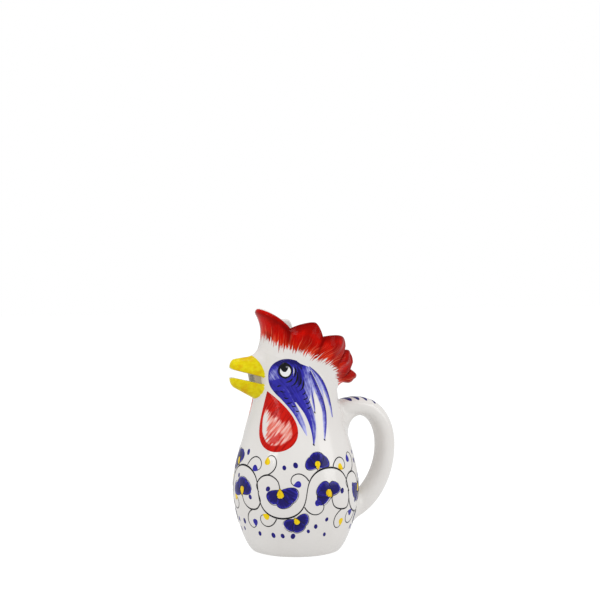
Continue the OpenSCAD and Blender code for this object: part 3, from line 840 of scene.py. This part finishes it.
# %% [markdown]
# ## The painter's brush
# All the blue, black and yellow on the jug was laid on with a pointed brush, so every mark is a stroke
# that swells and thins, or a blot. Each one is made as a very thin closed film that follows the vessel.
# A film is drawn flat, in millimetres round the girth and up the side, and then rolled onto the skin.
# It is a little thicker in the middle, as pooled paint is, and its underside is sunk into the glaze so
# that no gap shows. Each point carries marks for the finish: how far along and across its stroke it is,
# and how thin the paint.

# %% Curves and directions
def lengths(path):
    """Length along a path at each of its points."""
    return np.concatenate([[0], np.cumsum(np.linalg.norm(np.diff(path, axis=0), axis=1))])


def curve_through(points, count=40):
    """A smooth curve through points, evenly spread along them."""
    points = np.asarray(points, float)
    chords = lengths(points)
    slopes = np.gradient(points, chords, axis=0)
    t = np.linspace(0, chords[-1], count)
    i = np.clip(np.searchsorted(chords, t, side="right") - 1, 0, len(points) - 2)
    a, d, step = points[i], points[i + 1], chords[i + 1] - chords[i]
    out, back = (slopes[k] * step[:, None] / 3 for k in (i, i + 1))
    return bow(a, a + out, d - back, d, (t - chords[i]) / step)


def heading(lean):
    """The flat direction at a lean in degrees: 0 is up, 90 is round towards the bird's left."""
    return joined(np.sin(np.radians(lean)), np.cos(np.radians(lean)))


print("a curve through three points has", len(curve_through([(0, 0), (2, 3), (6, 4)])), "steps")

# %% Films of paint
PAINT_SINK, EDGE_THINNING = 0.3, 0.6


def roll(girth, side=1):
    """Rolls flat points, in millimetres round a girth and up the side, onto the skin."""
    return lambda flat, lift: on_skin(side * np.degrees(flat[..., 0] / girth), flat[..., 1], lift)


def pillow(lift, share):
    """Lift of a film at shares from its middle, where it is thickest, to its edge."""
    return lift * (1 - EDGE_THINNING * share**4)


class Paint:
    """Films of paint collected into one piece."""

    def __init__(self, carry):
        self.carry, self.points, self.faces, self.marks, self.total = carry, [], [], [], 0

    def add(self, flat, lifts, along, across, tone):
        """A film from rows of flat points, each row a closed ring with its lifts and marks."""
        rings = self.carry(flat, np.broadcast_to(lifts, flat.shape[:2]))
        points, faces = loft(rings, self.total)
        self.points.append(points)
        self.faces += faces
        self.marks.append(joined(along, across, tone + 0 * flat[..., 0]).reshape(-1, 3))
        self.total += len(points)

    def blade(self, left, right, lift, tone=(0.3, 0.3), fade=0.0):
        """A film between two edges, with a tone at each edge that fades along it."""
        a = np.append(np.linspace(-1, 1, 9), [1, 0, -1])
        lifts = np.append(pillow(lift, a[:9]), [-PAINT_SINK] * 3)
        flat = mix(left[:, None], right[:, None], ((a + 1) / 2)[:, None])
        width = np.linalg.norm(right - left, axis=1)[:, None]
        along = lengths((left + right) / 2)[:, None]
        tones = mix(tone[0], tone[1], (a + 1) / 2) + fade * np.linspace(0, 1, len(left))[:, None]
        self.add(flat, lifts, along, a * width / 2, tones)

    def stroke(self, path, widths, lift, tone=0.3):
        """A brush stroke along a path, with its width at even steps along it."""
        width = np.interp(np.linspace(0, 1, len(path)), np.linspace(0, 1, len(widths)), widths)
        off = aside(unit(np.gradient(path, axis=0))) * width[:, None] / 2
        self.blade(path - off, path + off, lift, (tone, tone))

    def blot(self, outline, lift, tone=0.3, grain=0.0):
        """A film inside a closed outline; a tone can be a function of flat points and shares out."""
        outs = np.append(0.03, np.linspace(0.2, 1, 9))[:, None]
        lifts = np.concatenate([0 * outs - PAINT_SINK, pillow(lift, outs[::-1])])
        outs = np.concatenate([outs, outs[::-1]])
        middle = outline.mean(axis=0)
        flat = middle + (outline - middle) * outs[..., None]
        self.add(flat, lifts, flat @ heading(grain), flat @ heading(grain + 90),
                 tone(flat, outs) if callable(tone) else tone)

    def finish(self, name, glaze):
        marks = dict(zip(("along", "across", "tone"), np.concatenate(self.marks).T))
        points = np.concatenate(self.points)
        return add_piece(name, points, self.faces, glaze, "white_glaze", None, marks)


print("a film reaches", PAINT_SINK, "mm into the glaze")

# %% Ovals and drops
DROP_POINT, DROP_SPAN = 1.1, 1.62


def laid(place, up, side, lean):
    """An outline at a place, from its own lengths up and sideways, turned to a lean."""
    return np.asarray(place) + np.outer(up, heading(lean)) + np.outer(side, heading(lean + 90))


def oval(centre, long, wide, lean=0.0, count=28):
    turn = circle(count)
    return laid(centre, np.cos(turn) * long / 2, np.sin(turn) * wide / 2, lean)


def drop(foot, long, wide, lean, count=36):
    """Outline of a brush drop that starts pointed at a foot and ends round."""
    turn = circle(count)
    side = np.sin(turn) * np.sin(turn / 2) ** DROP_POINT * wide / DROP_SPAN
    return laid(foot, (1 - np.cos(turn)) / 2 * long, side, lean)


print("a drop of 10 by 6 mm is", float(np.ptp(drop((0, 0), 10, 6, 0)[:, 0])), "mm wide")

# %% [markdown]
# Cobalt is one pigment that reads as three: nearly black where it pools, a strong violet blue in the
# body of a stroke, and lavender where the brush ran dry. So the finish slides along that scale with the
# tone mark, and noise drawn out along the stroke adds the hairs of the brush. Manganese black, the
# yellow and the white of the eye work the same way, each with three tones of its own.

# %% Paint finishes
def brushed(name, deep, main, thin, shine=0.18):
    glaze = Finish(name, roughness=0.14, shine=shine)
    hairs = glaze.noise(0.75, 3.0, glaze.mark("across"), glaze.mark("along") * 0.06)
    tone = glaze.mark("tone") + hairs * 1.1 + glaze.drift(0.3) * 0.5
    glaze.colour(tone.step(1.2, 1.9).blend(tone.step(0.65, 1.15).blend(deep, main), thin))
    glaze.glaze()
    return glaze


cobalt = brushed("cobalt", srgb(24, 18, 98), srgb(48, 44, 164), srgb(178, 182, 232))
black = brushed("black", srgb(10, 10, 14), srgb(22, 22, 30), srgb(124, 124, 132))
lemon = brushed("lemon", srgb(206, 150, 4), srgb(240, 208, 10), srgb(248, 232, 110))
greys = (srgb(grey, grey, grey) for grey in (226, 236, 244))
eye_white = brushed("eye_white", *greys, shine=GLAZE_SHINE)
print("paints:", [glaze.material.name for glaze in (cobalt, black, lemon, eye_white)])

# %% [markdown]
# ## The face
# The painter gave each side of the face a round blue patch with the eye in it, and long feathers that
# fall from it down the neck. The patch is darkest along its upper rim and thin towards the beak. The
# feathers are single strokes of a loaded brush, dark on one edge and pale on the other, with white
# between them. Angles and heights are written down for the bird's left side, and the right side is its
# mirror image.

# %% Outlines on the face
FACE_GIRTH = NECK_R


def face(points):
    """Angles and heights on the face as flat millimetres."""
    return np.asarray(points, float) * [math.radians(1) * FACE_GIRTH, 1]


PATCH = [(26.6, 146.3), (27.2, 149.9), (30, 153.4), (34.9, 156.4), (41.2, 158.6), (48.7, 160.2),
         (56.7, 160.6), (65.3, 159.9), (73.7, 158.2), (79.3, 156.4), (78.2, 152.6), (77, 147.8),
         (78.3, 142.1), (81.1, 136.4), (83.7, 130.8), (80.1, 127.6), (72, 126.1), (62.8, 125.7),
         (54.8, 126), (44.7, 129.8), (35.6, 134.4), (29.8, 138.3), (27.1, 142.6), (26.6, 146.3)]
ROOTS = [(72, 157.4), (80.7, 156.3), (86.4, 154.6), (90, 152.4), (85.5, 150.5), (84.1, 146.1),
         (86.1, 141.2), (88.9, 136.3), (88.2, 132.3), (86, 127.9), (81, 132), (77, 139), (73.5, 148),
         (72, 157.4)]
PALE = [(28.2, 149.6), (31.8, 152.5), (37.5, 154.4), (43.2, 154.6), (41.9, 150.7), (43, 147.1),
        (46.4, 144.1), (38.1, 142.9), (28.5, 143.1), (27.6, 146.3), (28.2, 149.6)]
FEATHERS = [
    ([(89, 151.9), (94, 145.9), (100.1, 138.8), (105, 132.6), (107.8, 126.8)],
     [(89.9, 152.2), (96.6, 146.6), (103.7, 139.9), (108.2, 133.3), (108.3, 126.8)], (0.7, 0.6), 0.5),
    ([(84.2, 150.1), (84.4, 145.2), (86.6, 140.4), (88.9, 135.5), (91.4, 130.6)],
     [(86, 150.4), (88.7, 145.2), (91.6, 139.4), (93.1, 135), (91.9, 130.6)], (0.6, 0.7), 0.5),
    ([(35.6, 134.4), (50.6, 126.7), (64.3, 117.4), (72.7, 108), (79.6, 99.4)],
     [(57.1, 135.6), (66.7, 125.3), (74.2, 116.6), (79.1, 107.2), (80.3, 99.5)], (-0.1, 0.25), 1.0),
    ([(51.5, 138.8), (68, 125.9), (78.1, 117.3), (84.4, 106.3), (85.9, 100), (86.2, 91.8)],
     [(78.3, 140.5), (84.3, 129.9), (90.1, 119.5), (92.1, 107.6), (90.7, 100.6), (87.3, 91.7)],
     (0.0, 0.45), 0.5),
    ([(88.3, 137.9), (88.6, 132.3), (89.2, 127.4), (90.6, 122.6), (91.6, 117.4)],
     [(89.5, 138.2), (91.6, 131.4), (92.9, 125.8), (93.2, 121), (92.8, 117.3)], (1.0, 0.1), 0.1),
    ([(86, 150.6), (92, 138.6), (100.4, 125.5), (103, 119), (102.2, 111.1), (99.7, 95.6)],
     [(88.9, 150.8), (99.7, 138.4), (108.4, 124.8), (109.5, 118), (108, 110.9), (100.7, 95.3)],
     (0.65, -0.15), 0.45),
    ([(86.4, 154.4), (96, 147), (106.2, 137.7), (114.8, 126.5), (117.2, 120), (117.9, 112.7)],
     [(87.2, 154.7), (98.4, 149.3), (110.2, 141.1), (119.7, 128.7), (121.1, 121.4), (119.7, 112.5)],
     (0.95, -0.15), 0.2),
]
DARK_STROKES = [
    ([(42.1, 157), (51, 158.8), (59.6, 159.2), (68.1, 157.8), (74, 155.6), (75.8, 151.8)], 2.6),
    ([(69.5, 155), (72.9, 149.4), (73.2, 143.8), (69.4, 138.1)], 3.4),
]


print("feathers on each side:", len(FEATHERS))

# %% Blue patch and feathers
PATCH_LIFT, ROOT_LIFT, OVER_PATCH, FEATHER_LIFT, FEATHER_STEP = 0.1, 0.13, 0.14, 0.13, 0.02


def patch_tone(flat, outs):
    angle, z = np.degrees(flat[..., 0] / FACE_GIRTH), flat[..., 1]
    return 0.2 + 0.35 * band(angle, 57, 10) * band(z, 134, 6) - 0.35 * smooth((z - 153) / 6)


def root_tone(flat, outs):
    angle, z = np.degrees(flat[..., 0] / FACE_GIRTH), flat[..., 1]
    return 0.1 + 0.68 * smooth((angle - 73.5) / 9) - 0.5 * smooth((z - 152) / 5)


def pale_tone(flat, outs):
    return 0.84 - 0.4 * outs**2


for side_name, side in SIDES:
    blue = Paint(roll(FACE_GIRTH, side))
    blue.blot(curve_through(face(PATCH), 97)[:-1], PATCH_LIFT, patch_tone, 130)
    blue.blot(curve_through(face(ROOTS), 61)[:-1], ROOT_LIFT, root_tone, 160)
    blue.blot(curve_through(face(PALE), 61)[:-1], OVER_PATCH, pale_tone, 140)
    for path, width in DARK_STROKES:
        blue.stroke(curve_through(face(path)), (0.4, width, width, 0.5), OVER_PATCH, -0.35)
    for step, (*edges, tone, fade) in enumerate(FEATHERS):
        edges = [curve_through(face(edge)) for edge in edges]
        blue.blade(*edges, FEATHER_LIFT + FEATHER_STEP * step, tone, fade)
    blue.finish("face_blue_" + side_name, cobalt)

# %% [markdown]
# Rows of short black ticks stand for small feathers below the eye, and arcs follow the eye's own curve
# behind it. The eye is built up as a painter does it: a black ring, a white disc and a large black
# pupil that looks up and forward. A grey glint on the pupil is a painted reflection.

# %% Ticks and eyes
TICKS = [
    [(41.5, 137.9), (44.7, 138.8), (47.6, 138.6)], [(45.8, 134.8), (49.5, 134), (53, 133.8)],
    [(51.6, 129.6), (55.3, 128.8), (58.7, 129.3)], [(56, 125.1), (59.5, 125.1), (63.2, 125.9)],
    [(62.2, 123.1), (65.2, 122.4), (68.4, 122.7)], [(67.6, 119.2), (69.9, 118.5), (72.1, 118.7)],
    [(76.6, 132), (79.3, 132.7), (81.4, 134.6)], [(77.4, 128), (81.2, 128.5), (84.3, 130.5)],
    [(80.5, 124.6), (84.2, 125), (86.9, 126.9)], [(81.9, 120.4), (85.3, 121.2), (87.8, 122.5)],
    [(63.7, 145.1), (61, 143.3), (57.4, 142.2), (54, 141.8)],
    [(66.3, 154.6), (67.8, 151.8), (67.2, 148.2), (65.1, 145.5)],
    [(69.8, 150.2), (70.2, 146.2), (68.1, 142.1), (64, 139.5), (61, 138.7)],
    [(74.9, 146.6), (74.5, 142.1), (71.5, 138.9), (67.8, 137.3)],
    [(77.9, 143.7), (78.1, 139.7), (76, 136.5), (71.8, 134.6)],
]
SPOTS = [(75.4, 153.2), (92.2, 117.5), (86.8, 92.4), (100.2, 95.7), (95.3, 150), (101.1, 144.9),
         (108, 142.2), (95.8, 139.1), (98.3, 134), (104.1, 128.6), (105.3, 123.3), (88, 148.4)]
EYE_SHINE = [(63.8, 154.4), (65.2, 151.4), (64.2, 147.4)]
TICK_W, ARC_W, INK_LIFT, SPOT_LONG, SPOT_WIDE = 1.2, 1.45, 0.26, 1.9, 1.0
EYE_RING_W, EYE_WHITE_W = 12.8, 10.6
EYE, PUPIL, GLINT = face((53, 151)), face((52.2, 153.3)), face((55.4, 154.2))
for side_name, side in SIDES:
    ink, whites, pupils, glints = (Paint(roll(FACE_GIRTH, side)) for _ in range(4))
    for tick in TICKS:
        bold = TICK_W if len(tick) == 3 else ARC_W
        ink.stroke(curve_through(face(tick), 14), (0.3, bold, bold, 0.7 * bold, 0.2), INK_LIFT, 0.1)
    for spot in face(SPOTS):
        ink.blot(oval(spot, SPOT_LONG, SPOT_WIDE, 150, 16), INK_LIFT)
    ink.blot(oval(EYE, EYE_RING_W, EYE_RING_W), 0.2, 0.1)
    whites.blot(oval(EYE + [0.1, -0.1], EYE_WHITE_W, EYE_WHITE_W), 0.25, 0.4)
    whites.stroke(curve_through(face(EYE_SHINE), 14), (0.1, 0.7, 0.1), 0.24)
    pupils.blot(oval(PUPIL, 9.0, 7.6), 0.3, 0.1)
    # A painted reflection: the grey glint on the pupil.
    glints.blot(oval(GLINT, 1.8, 2.8), 0.34, 1.1)
    ink.finish("face_black_" + side_name, black)
    whites.finish("eye_white_" + side_name, eye_white)
    pupils.finish("pupil_" + side_name, black)
    glints.finish("eye_glint_" + side_name, black)

# %% [markdown]
# ## The scroll round the belly
# A running scroll is one of the oldest borders on painted pottery. One wavy stem runs round the girth.
# Where it swings from one bend to the next, a branch carries on in the first bend's own curve, winds
# inwards and ends in a blossom. Outside each bend stand thin curls that end in drops. A loop over the
# bends places all of it, each lower bend being an upper one turned half round. The numbers are varied a
# little from a fixed seed, because a hand never paints the same blossom twice.

# %% Stem
BELLY_GIRTH, BEND, FIRST_CREST = BELLY_R, 90.0, 100.0
STEM_Z, STEM_SWING, STEM_WIDENING, STEM_LIFT = 54.0, 20.0, 5.5, 0.15
taken = []
stem, leaves_blue, hearts = (Paint(roll(BELLY_GIRTH)) for _ in range(3))


def stem_at(angle):
    """A point of the stem near an angle: a wave whose bends are drawn wide, as a hand swings."""
    swing = 2 * np.pi * (angle - FIRST_CREST) / BEND
    widened = np.radians(angle + STEM_WIDENING * np.sin(2 * swing)) * BELLY_GIRTH
    return joined(widened, STEM_Z + STEM_SWING * np.cos(swing))


waves = np.arange(-160, 160.5, 1.0)
thick = 1.1 + 0.4 * np.cos(np.radians((waves - FIRST_CREST) * 720 / BEND))
thick[:6], thick[-6:] = np.linspace(0.1, 0.9, 6), np.linspace(0.9, 0.1, 6)
stem.stroke(stem_at(waves), thick, STEM_LIFT, 0.15)
taken.extend(stem_at(waves[::3]))
print("stem:", len(stem.faces), "faces")

# %% Blossoms
hand = np.random.default_rng(11)
PETALS = ((-62, 11.5, 11.5, 0.11), (62, 11.5, 11.5, 0.125), (0, 12.0, 12.5, 0.14))
HEART_LONG, HEART_WIDE, HEART_LIFT = 7.2, 5.4, 0.28
OUTLINE_WIDTHS, OUTLINE_LIFT = (0.15, 0.55, 0.3, 0.6, 0.15), 0.08


def outlined(paint, outline, lift, tone, gap=0.35, grain=0.0):
    """A blot with a loose black outline drawn a little outside it."""
    paint.blot(outline, lift, tone, grain)
    loop = outline + unit(outline - outline.mean(axis=0)) * gap + hand.normal(0, 0.25, 2)
    loop = np.roll(loop, int(hand.integers(0, len(outline))), axis=0)
    stem.stroke(curve_through(loop[::2], 60), OUTLINE_WIDTHS, lift + OUTLINE_LIFT)


def pooled(flat, outs):
    """Tone of a petal: dark in the middle, thinner at its edge."""
    return -0.22 + 0.55 * outs**3 + 0 * flat[..., 0]


def blossom(foot, lean, size):
    """Three broad brush drops that open from one foot, with a yellow drop over it."""
    for turn, length, width, lift in PETALS:
        length, width = length * size * hand.uniform(0.9, 1.1), width * size * hand.uniform(0.9, 1.1)
        turned = lean + turn + hand.normal(0, 5)
        taken.extend(foot + heading(turned) * length * part for part in (0.4, 0.7, 1.0))
        petal = drop(foot + heading(turned) * 0.3, length, width, turned)
        outlined(leaves_blue, petal, lift, pooled, 0.35, turned)
    turned = lean + hand.normal(0, 12)
    heart = drop(foot - heading(lean) * 1.6, HEART_LONG * size, HEART_WIDE * size, turned)
    outlined(hearts, heart, HEART_LIFT, 0.25, 0.2)


print("petals open at", [petal[0] for petal in PETALS], "degrees")

# %% Curls and branches round the girth
CURL_STEPS, CURL_CLOSING, CURL_WIDTHS = 40, 0.55, (0.95, 0.9, 0.75, 0.65, 0.5)
BUD_LONG, BUD_WIDE, BUD_LIFT, BRANCH_LIFT = 6.6, 5.6, 0.14, 0.16


def belly(angle, z):
    return np.array([math.radians(angle) * BELLY_GIRTH, z])


def curl(foot, radius, lean, hand_side, tail, paint):
    """A tendril that winds into an open curl and ends in a drop."""
    turns = np.linspace(0, 1, CURL_STEPS)
    sweep = lean + hand_side * turns**1.3 * tail
    way = heading(sweep) * (radius * (1 - CURL_CLOSING * turns))[:, None]
    path = foot + np.cumsum(way, axis=0) * math.radians(tail) / CURL_STEPS
    stem.stroke(path, CURL_WIDTHS, BRANCH_LIFT, 0.2)
    end_lean = sweep[-1] + 30 * hand_side
    taken.extend([*path[::4], path[-1] + heading(end_lean) * 4])
    bud = drop(path[-1] - heading(end_lean), BUD_LONG, BUD_WIDE, end_lean)
    paint.blot(bud, BUD_LIFT, 0.2, end_lean)


BRANCH = np.array([(20.2, -3.0), (22.0, -9.5), (18.5, -15.5), (11.0, -17.0), (4.0, -13.0), (1.5, -6.5)])
CURLS = [(-14.0, -30, -1, 10.0, 215), (2.5, 25, 1, 9.5, 235)]
for step, angle in enumerate(np.arange(-125, 146, BEND / 2)):
    up = 1 if step % 2 else -1
    half_turn = 0 if up > 0 else 180
    middle = belly(angle, STEM_Z + up * 3)
    path = curve_through(middle + up * BRANCH + hand.normal(0, 0.5, BRANCH.shape), 50)
    stem.stroke(path, (0.8, 0.9, 1.3, 0.9, 0.7), BRANCH_LIFT, 0.15)
    taken.extend(path[::4])
    lean = hand.uniform(-40, 0) + half_turn
    blossom(path[-1] + heading(lean) * 0.8, lean, hand.uniform(1.08, 1.2))
    outer = angle - up * math.degrees(6 / BELLY_GIRTH)
    lean = hand.uniform(-35, 0) + half_turn
    blossom(stem_at(outer) + heading(lean) * 2.5, lean, hand.uniform(0.92, 1.04))
    for k, (along, curl_lean, hand_side, radius, tail) in enumerate(CURLS):
        start = angle + up * math.degrees(along / BELLY_GIRTH)
        paint = (leaves_blue, hearts)[(k + step // 2) % 2]
        curl(stem_at(start), radius * hand.uniform(0.9, 1.1), curl_lean + half_turn,
             hand_side, tail * hand.uniform(0.92, 1.08), paint)
    curl(path[26], 9.5, 245 + half_turn, -1, 215, (hearts, leaves_blue)[step // 2 % 2])
print("scroll:", len(stem.faces) + len(leaves_blue.faces) + len(hearts.faces), "faces")

# %% [markdown]
# Last come loose dots, which fill what is still empty. Every place that is painted was noted down, so a
# dot is set only where the nearest of them is some way off.

# %% Loose dots
ROOM_FOR_A_DOT, DOT_CHANCE = 6.4, 0.6
dots = 0
for angle in np.arange(-150, 151, 5.0):
    for z in np.arange(22, 84, 5.0):
        spot = belly(angle + hand.uniform(-3, 3), z + hand.uniform(-3, 3))
        size, slant = hand.uniform(2.8, 4.2), hand.uniform(-40, 40)
        nearest = np.linalg.norm(np.array(taken) - spot, axis=1).min()
        if nearest > ROOM_FOR_A_DOT and hand.uniform() < DOT_CHANCE:
            leaves_blue.blot(oval(spot, size * 1.2, size, slant, 20), 0.12, 0.0)
            taken.append(spot)
            dots += 1
print("loose dots:", dots)
stem.finish("scroll_black", black)
leaves_blue.finish("scroll_blue", cobalt)
hearts.finish("scroll_yellow", lemon)

# %% [markdown]
# The handle has only a row of short blue bars across its back. They are laid on the strap's own
# surface: the function that shaped the strap gives the points along and round it once more, with the
# section grown by the paint's lift.

# %% Bars on the handle
BAR_REACHES, BAR_LENGTH, BAR_TURN, BAR_SLANT = (46.3, 52.4, 58.6, 65.2), 0.014, 0.85, 0.009
bars = Paint(lambda flat, lift: strap_points(flat[..., 0], flat[..., 1], lift)[0])
early = np.linspace(0, 0.4, 200)
turn = circle(32)
slanted = joined(BAR_LENGTH * np.cos(turn) + BAR_SLANT * np.sin(turn), BAR_TURN * np.sin(turn))
for reach in BAR_REACHES:
    centre = np.array([np.interp(reach, handle_line(early)[0][:, 0], early), math.radians(90)])
    bars.blot(centre + slanted, 0.14, 0.0)
bars.finish("handle_bars", cobalt)

# %% [markdown]
# ## Light, floor and camera
# The jug stands on a white table in a soft box: a broad lamp to the left, another to the right and one
# overhead, with an even white room around. The room is bright where the camera looks at it and calmer
# where it lights the clay or shows in the glaze, so the white keeps its shades and the colours stay
# deep. The table keeps a faint shadow.

# %% World and lamps
def looked_at(tree, lighting, seen, mirrored):
    """One strength where light falls on things, one where it is seen and one where it is mirrored."""
    level = lighting
    for ray, strength in (("Camera", seen), ("Transmission", seen), ("Glossy", mirrored)):
        level = tree.node("LightPath", (), f"Is {ray} Ray") * (strength - lighting) + level
    return level


world = bpy.data.worlds.new("room")
bpy.context.scene.world = world
world.use_nodes = True
room = Tree(world.node_tree)
backdrop = room.nodes["Background"].inputs
backdrop["Color"].default_value = (1.0, 1.0, 1.0, 1.0)
room.put(backdrop["Strength"], looked_at(room, 0.77, 1.0, 0.6))

CAMERA_TURN = math.radians(-22.5)
right = Vector((math.cos(CAMERA_TURN), math.sin(CAMERA_TURN), 0))
back = Vector((math.sin(CAMERA_TURN), -math.cos(CAMERA_TURN), 0))
LAMPS = {
    "lamp_left": (right * -0.95 + back * 0.85 + Vector((0, 0, 0.85)), 0.45, 0.6, 4.0),
    "lamp_right": (right * 1.2 + back * 0.5 + Vector((0, 0, 0.5)), 0.65, 0.85, 4.1),
    "lamp_top": (back * 0.1 + Vector((0, 0, 1.5)), 0.5, 0.5, 3.5),
}
LAMP_TARGET = Vector((0, 0, 0.1))


def aim(thing, spot, target):
    """Puts a lamp or a camera at a spot, looking at a target."""
    thing.location = spot
    thing.rotation_euler = (target - spot).to_track_quat("-Z", "Y").to_euler()


for name, (spot, width, height, power) in LAMPS.items():
    light = bpy.data.lights.new(name, "AREA")
    light.shape, light.size, light.size_y, light.energy = "RECTANGLE", width, height, power
    aim(show(name, light), spot, LAMP_TARGET)
    print(name, "at", [round(c, 2) for c in spot])

# %% Table
TABLE_HALF, PAPER_GREY = 4.0, (0.3, 0.3, 0.3, 1.0)
corners = [(x * TABLE_HALF, y * TABLE_HALF, 0.0) for x, y in ((-1, -1), (1, -1), (1, 1), (-1, 1))]
table_mesh = bpy.data.meshes.new("table")
table_mesh.from_pydata(corners, [], [(0, 1, 2, 3)])
table = show("table", table_mesh)
paper = bpy.data.materials.new("paper")
paper.use_nodes = True
tree = Tree(paper.node_tree)
tree.nodes.clear()
glow = tree.node("Emission", {"Strength": looked_at(tree, 0.5, 0.84, 0.5)})
matt = tree.node("BsdfDiffuse", {"Color": PAPER_GREY})
tree.node("OutputMaterial", {"Surface": tree.node("AddShader", (glow, matt))})
table_mesh.materials.append(paper)
print("table is", 2 * TABLE_HALF, "m wide")

# %% Camera
CAMERA_BACK, CAMERA_HEIGHT, AIM_HEIGHT, FRAME_WIDTH, AXIS_SHIFT = 1.25, 0.254, 0.207, 0.496, 0.00355
eye_point = back * CAMERA_BACK + right * AXIS_SHIFT + Vector((0, 0, CAMERA_HEIGHT))
aim_point = right * AXIS_SHIFT + Vector((0, 0, AIM_HEIGHT))
lens = bpy.data.cameras.new("camera")
lens.sensor_fit = "HORIZONTAL"
lens.angle = 2 * math.atan(FRAME_WIDTH / 2 / (aim_point - eye_point).length)
camera = show("camera", lens)
aim(camera, eye_point, aim_point)
bpy.context.scene.camera = camera
bpy.context.scene.view_settings.view_transform = "Standard"
print("camera sees", round(math.degrees(lens.angle), 2), "degrees")
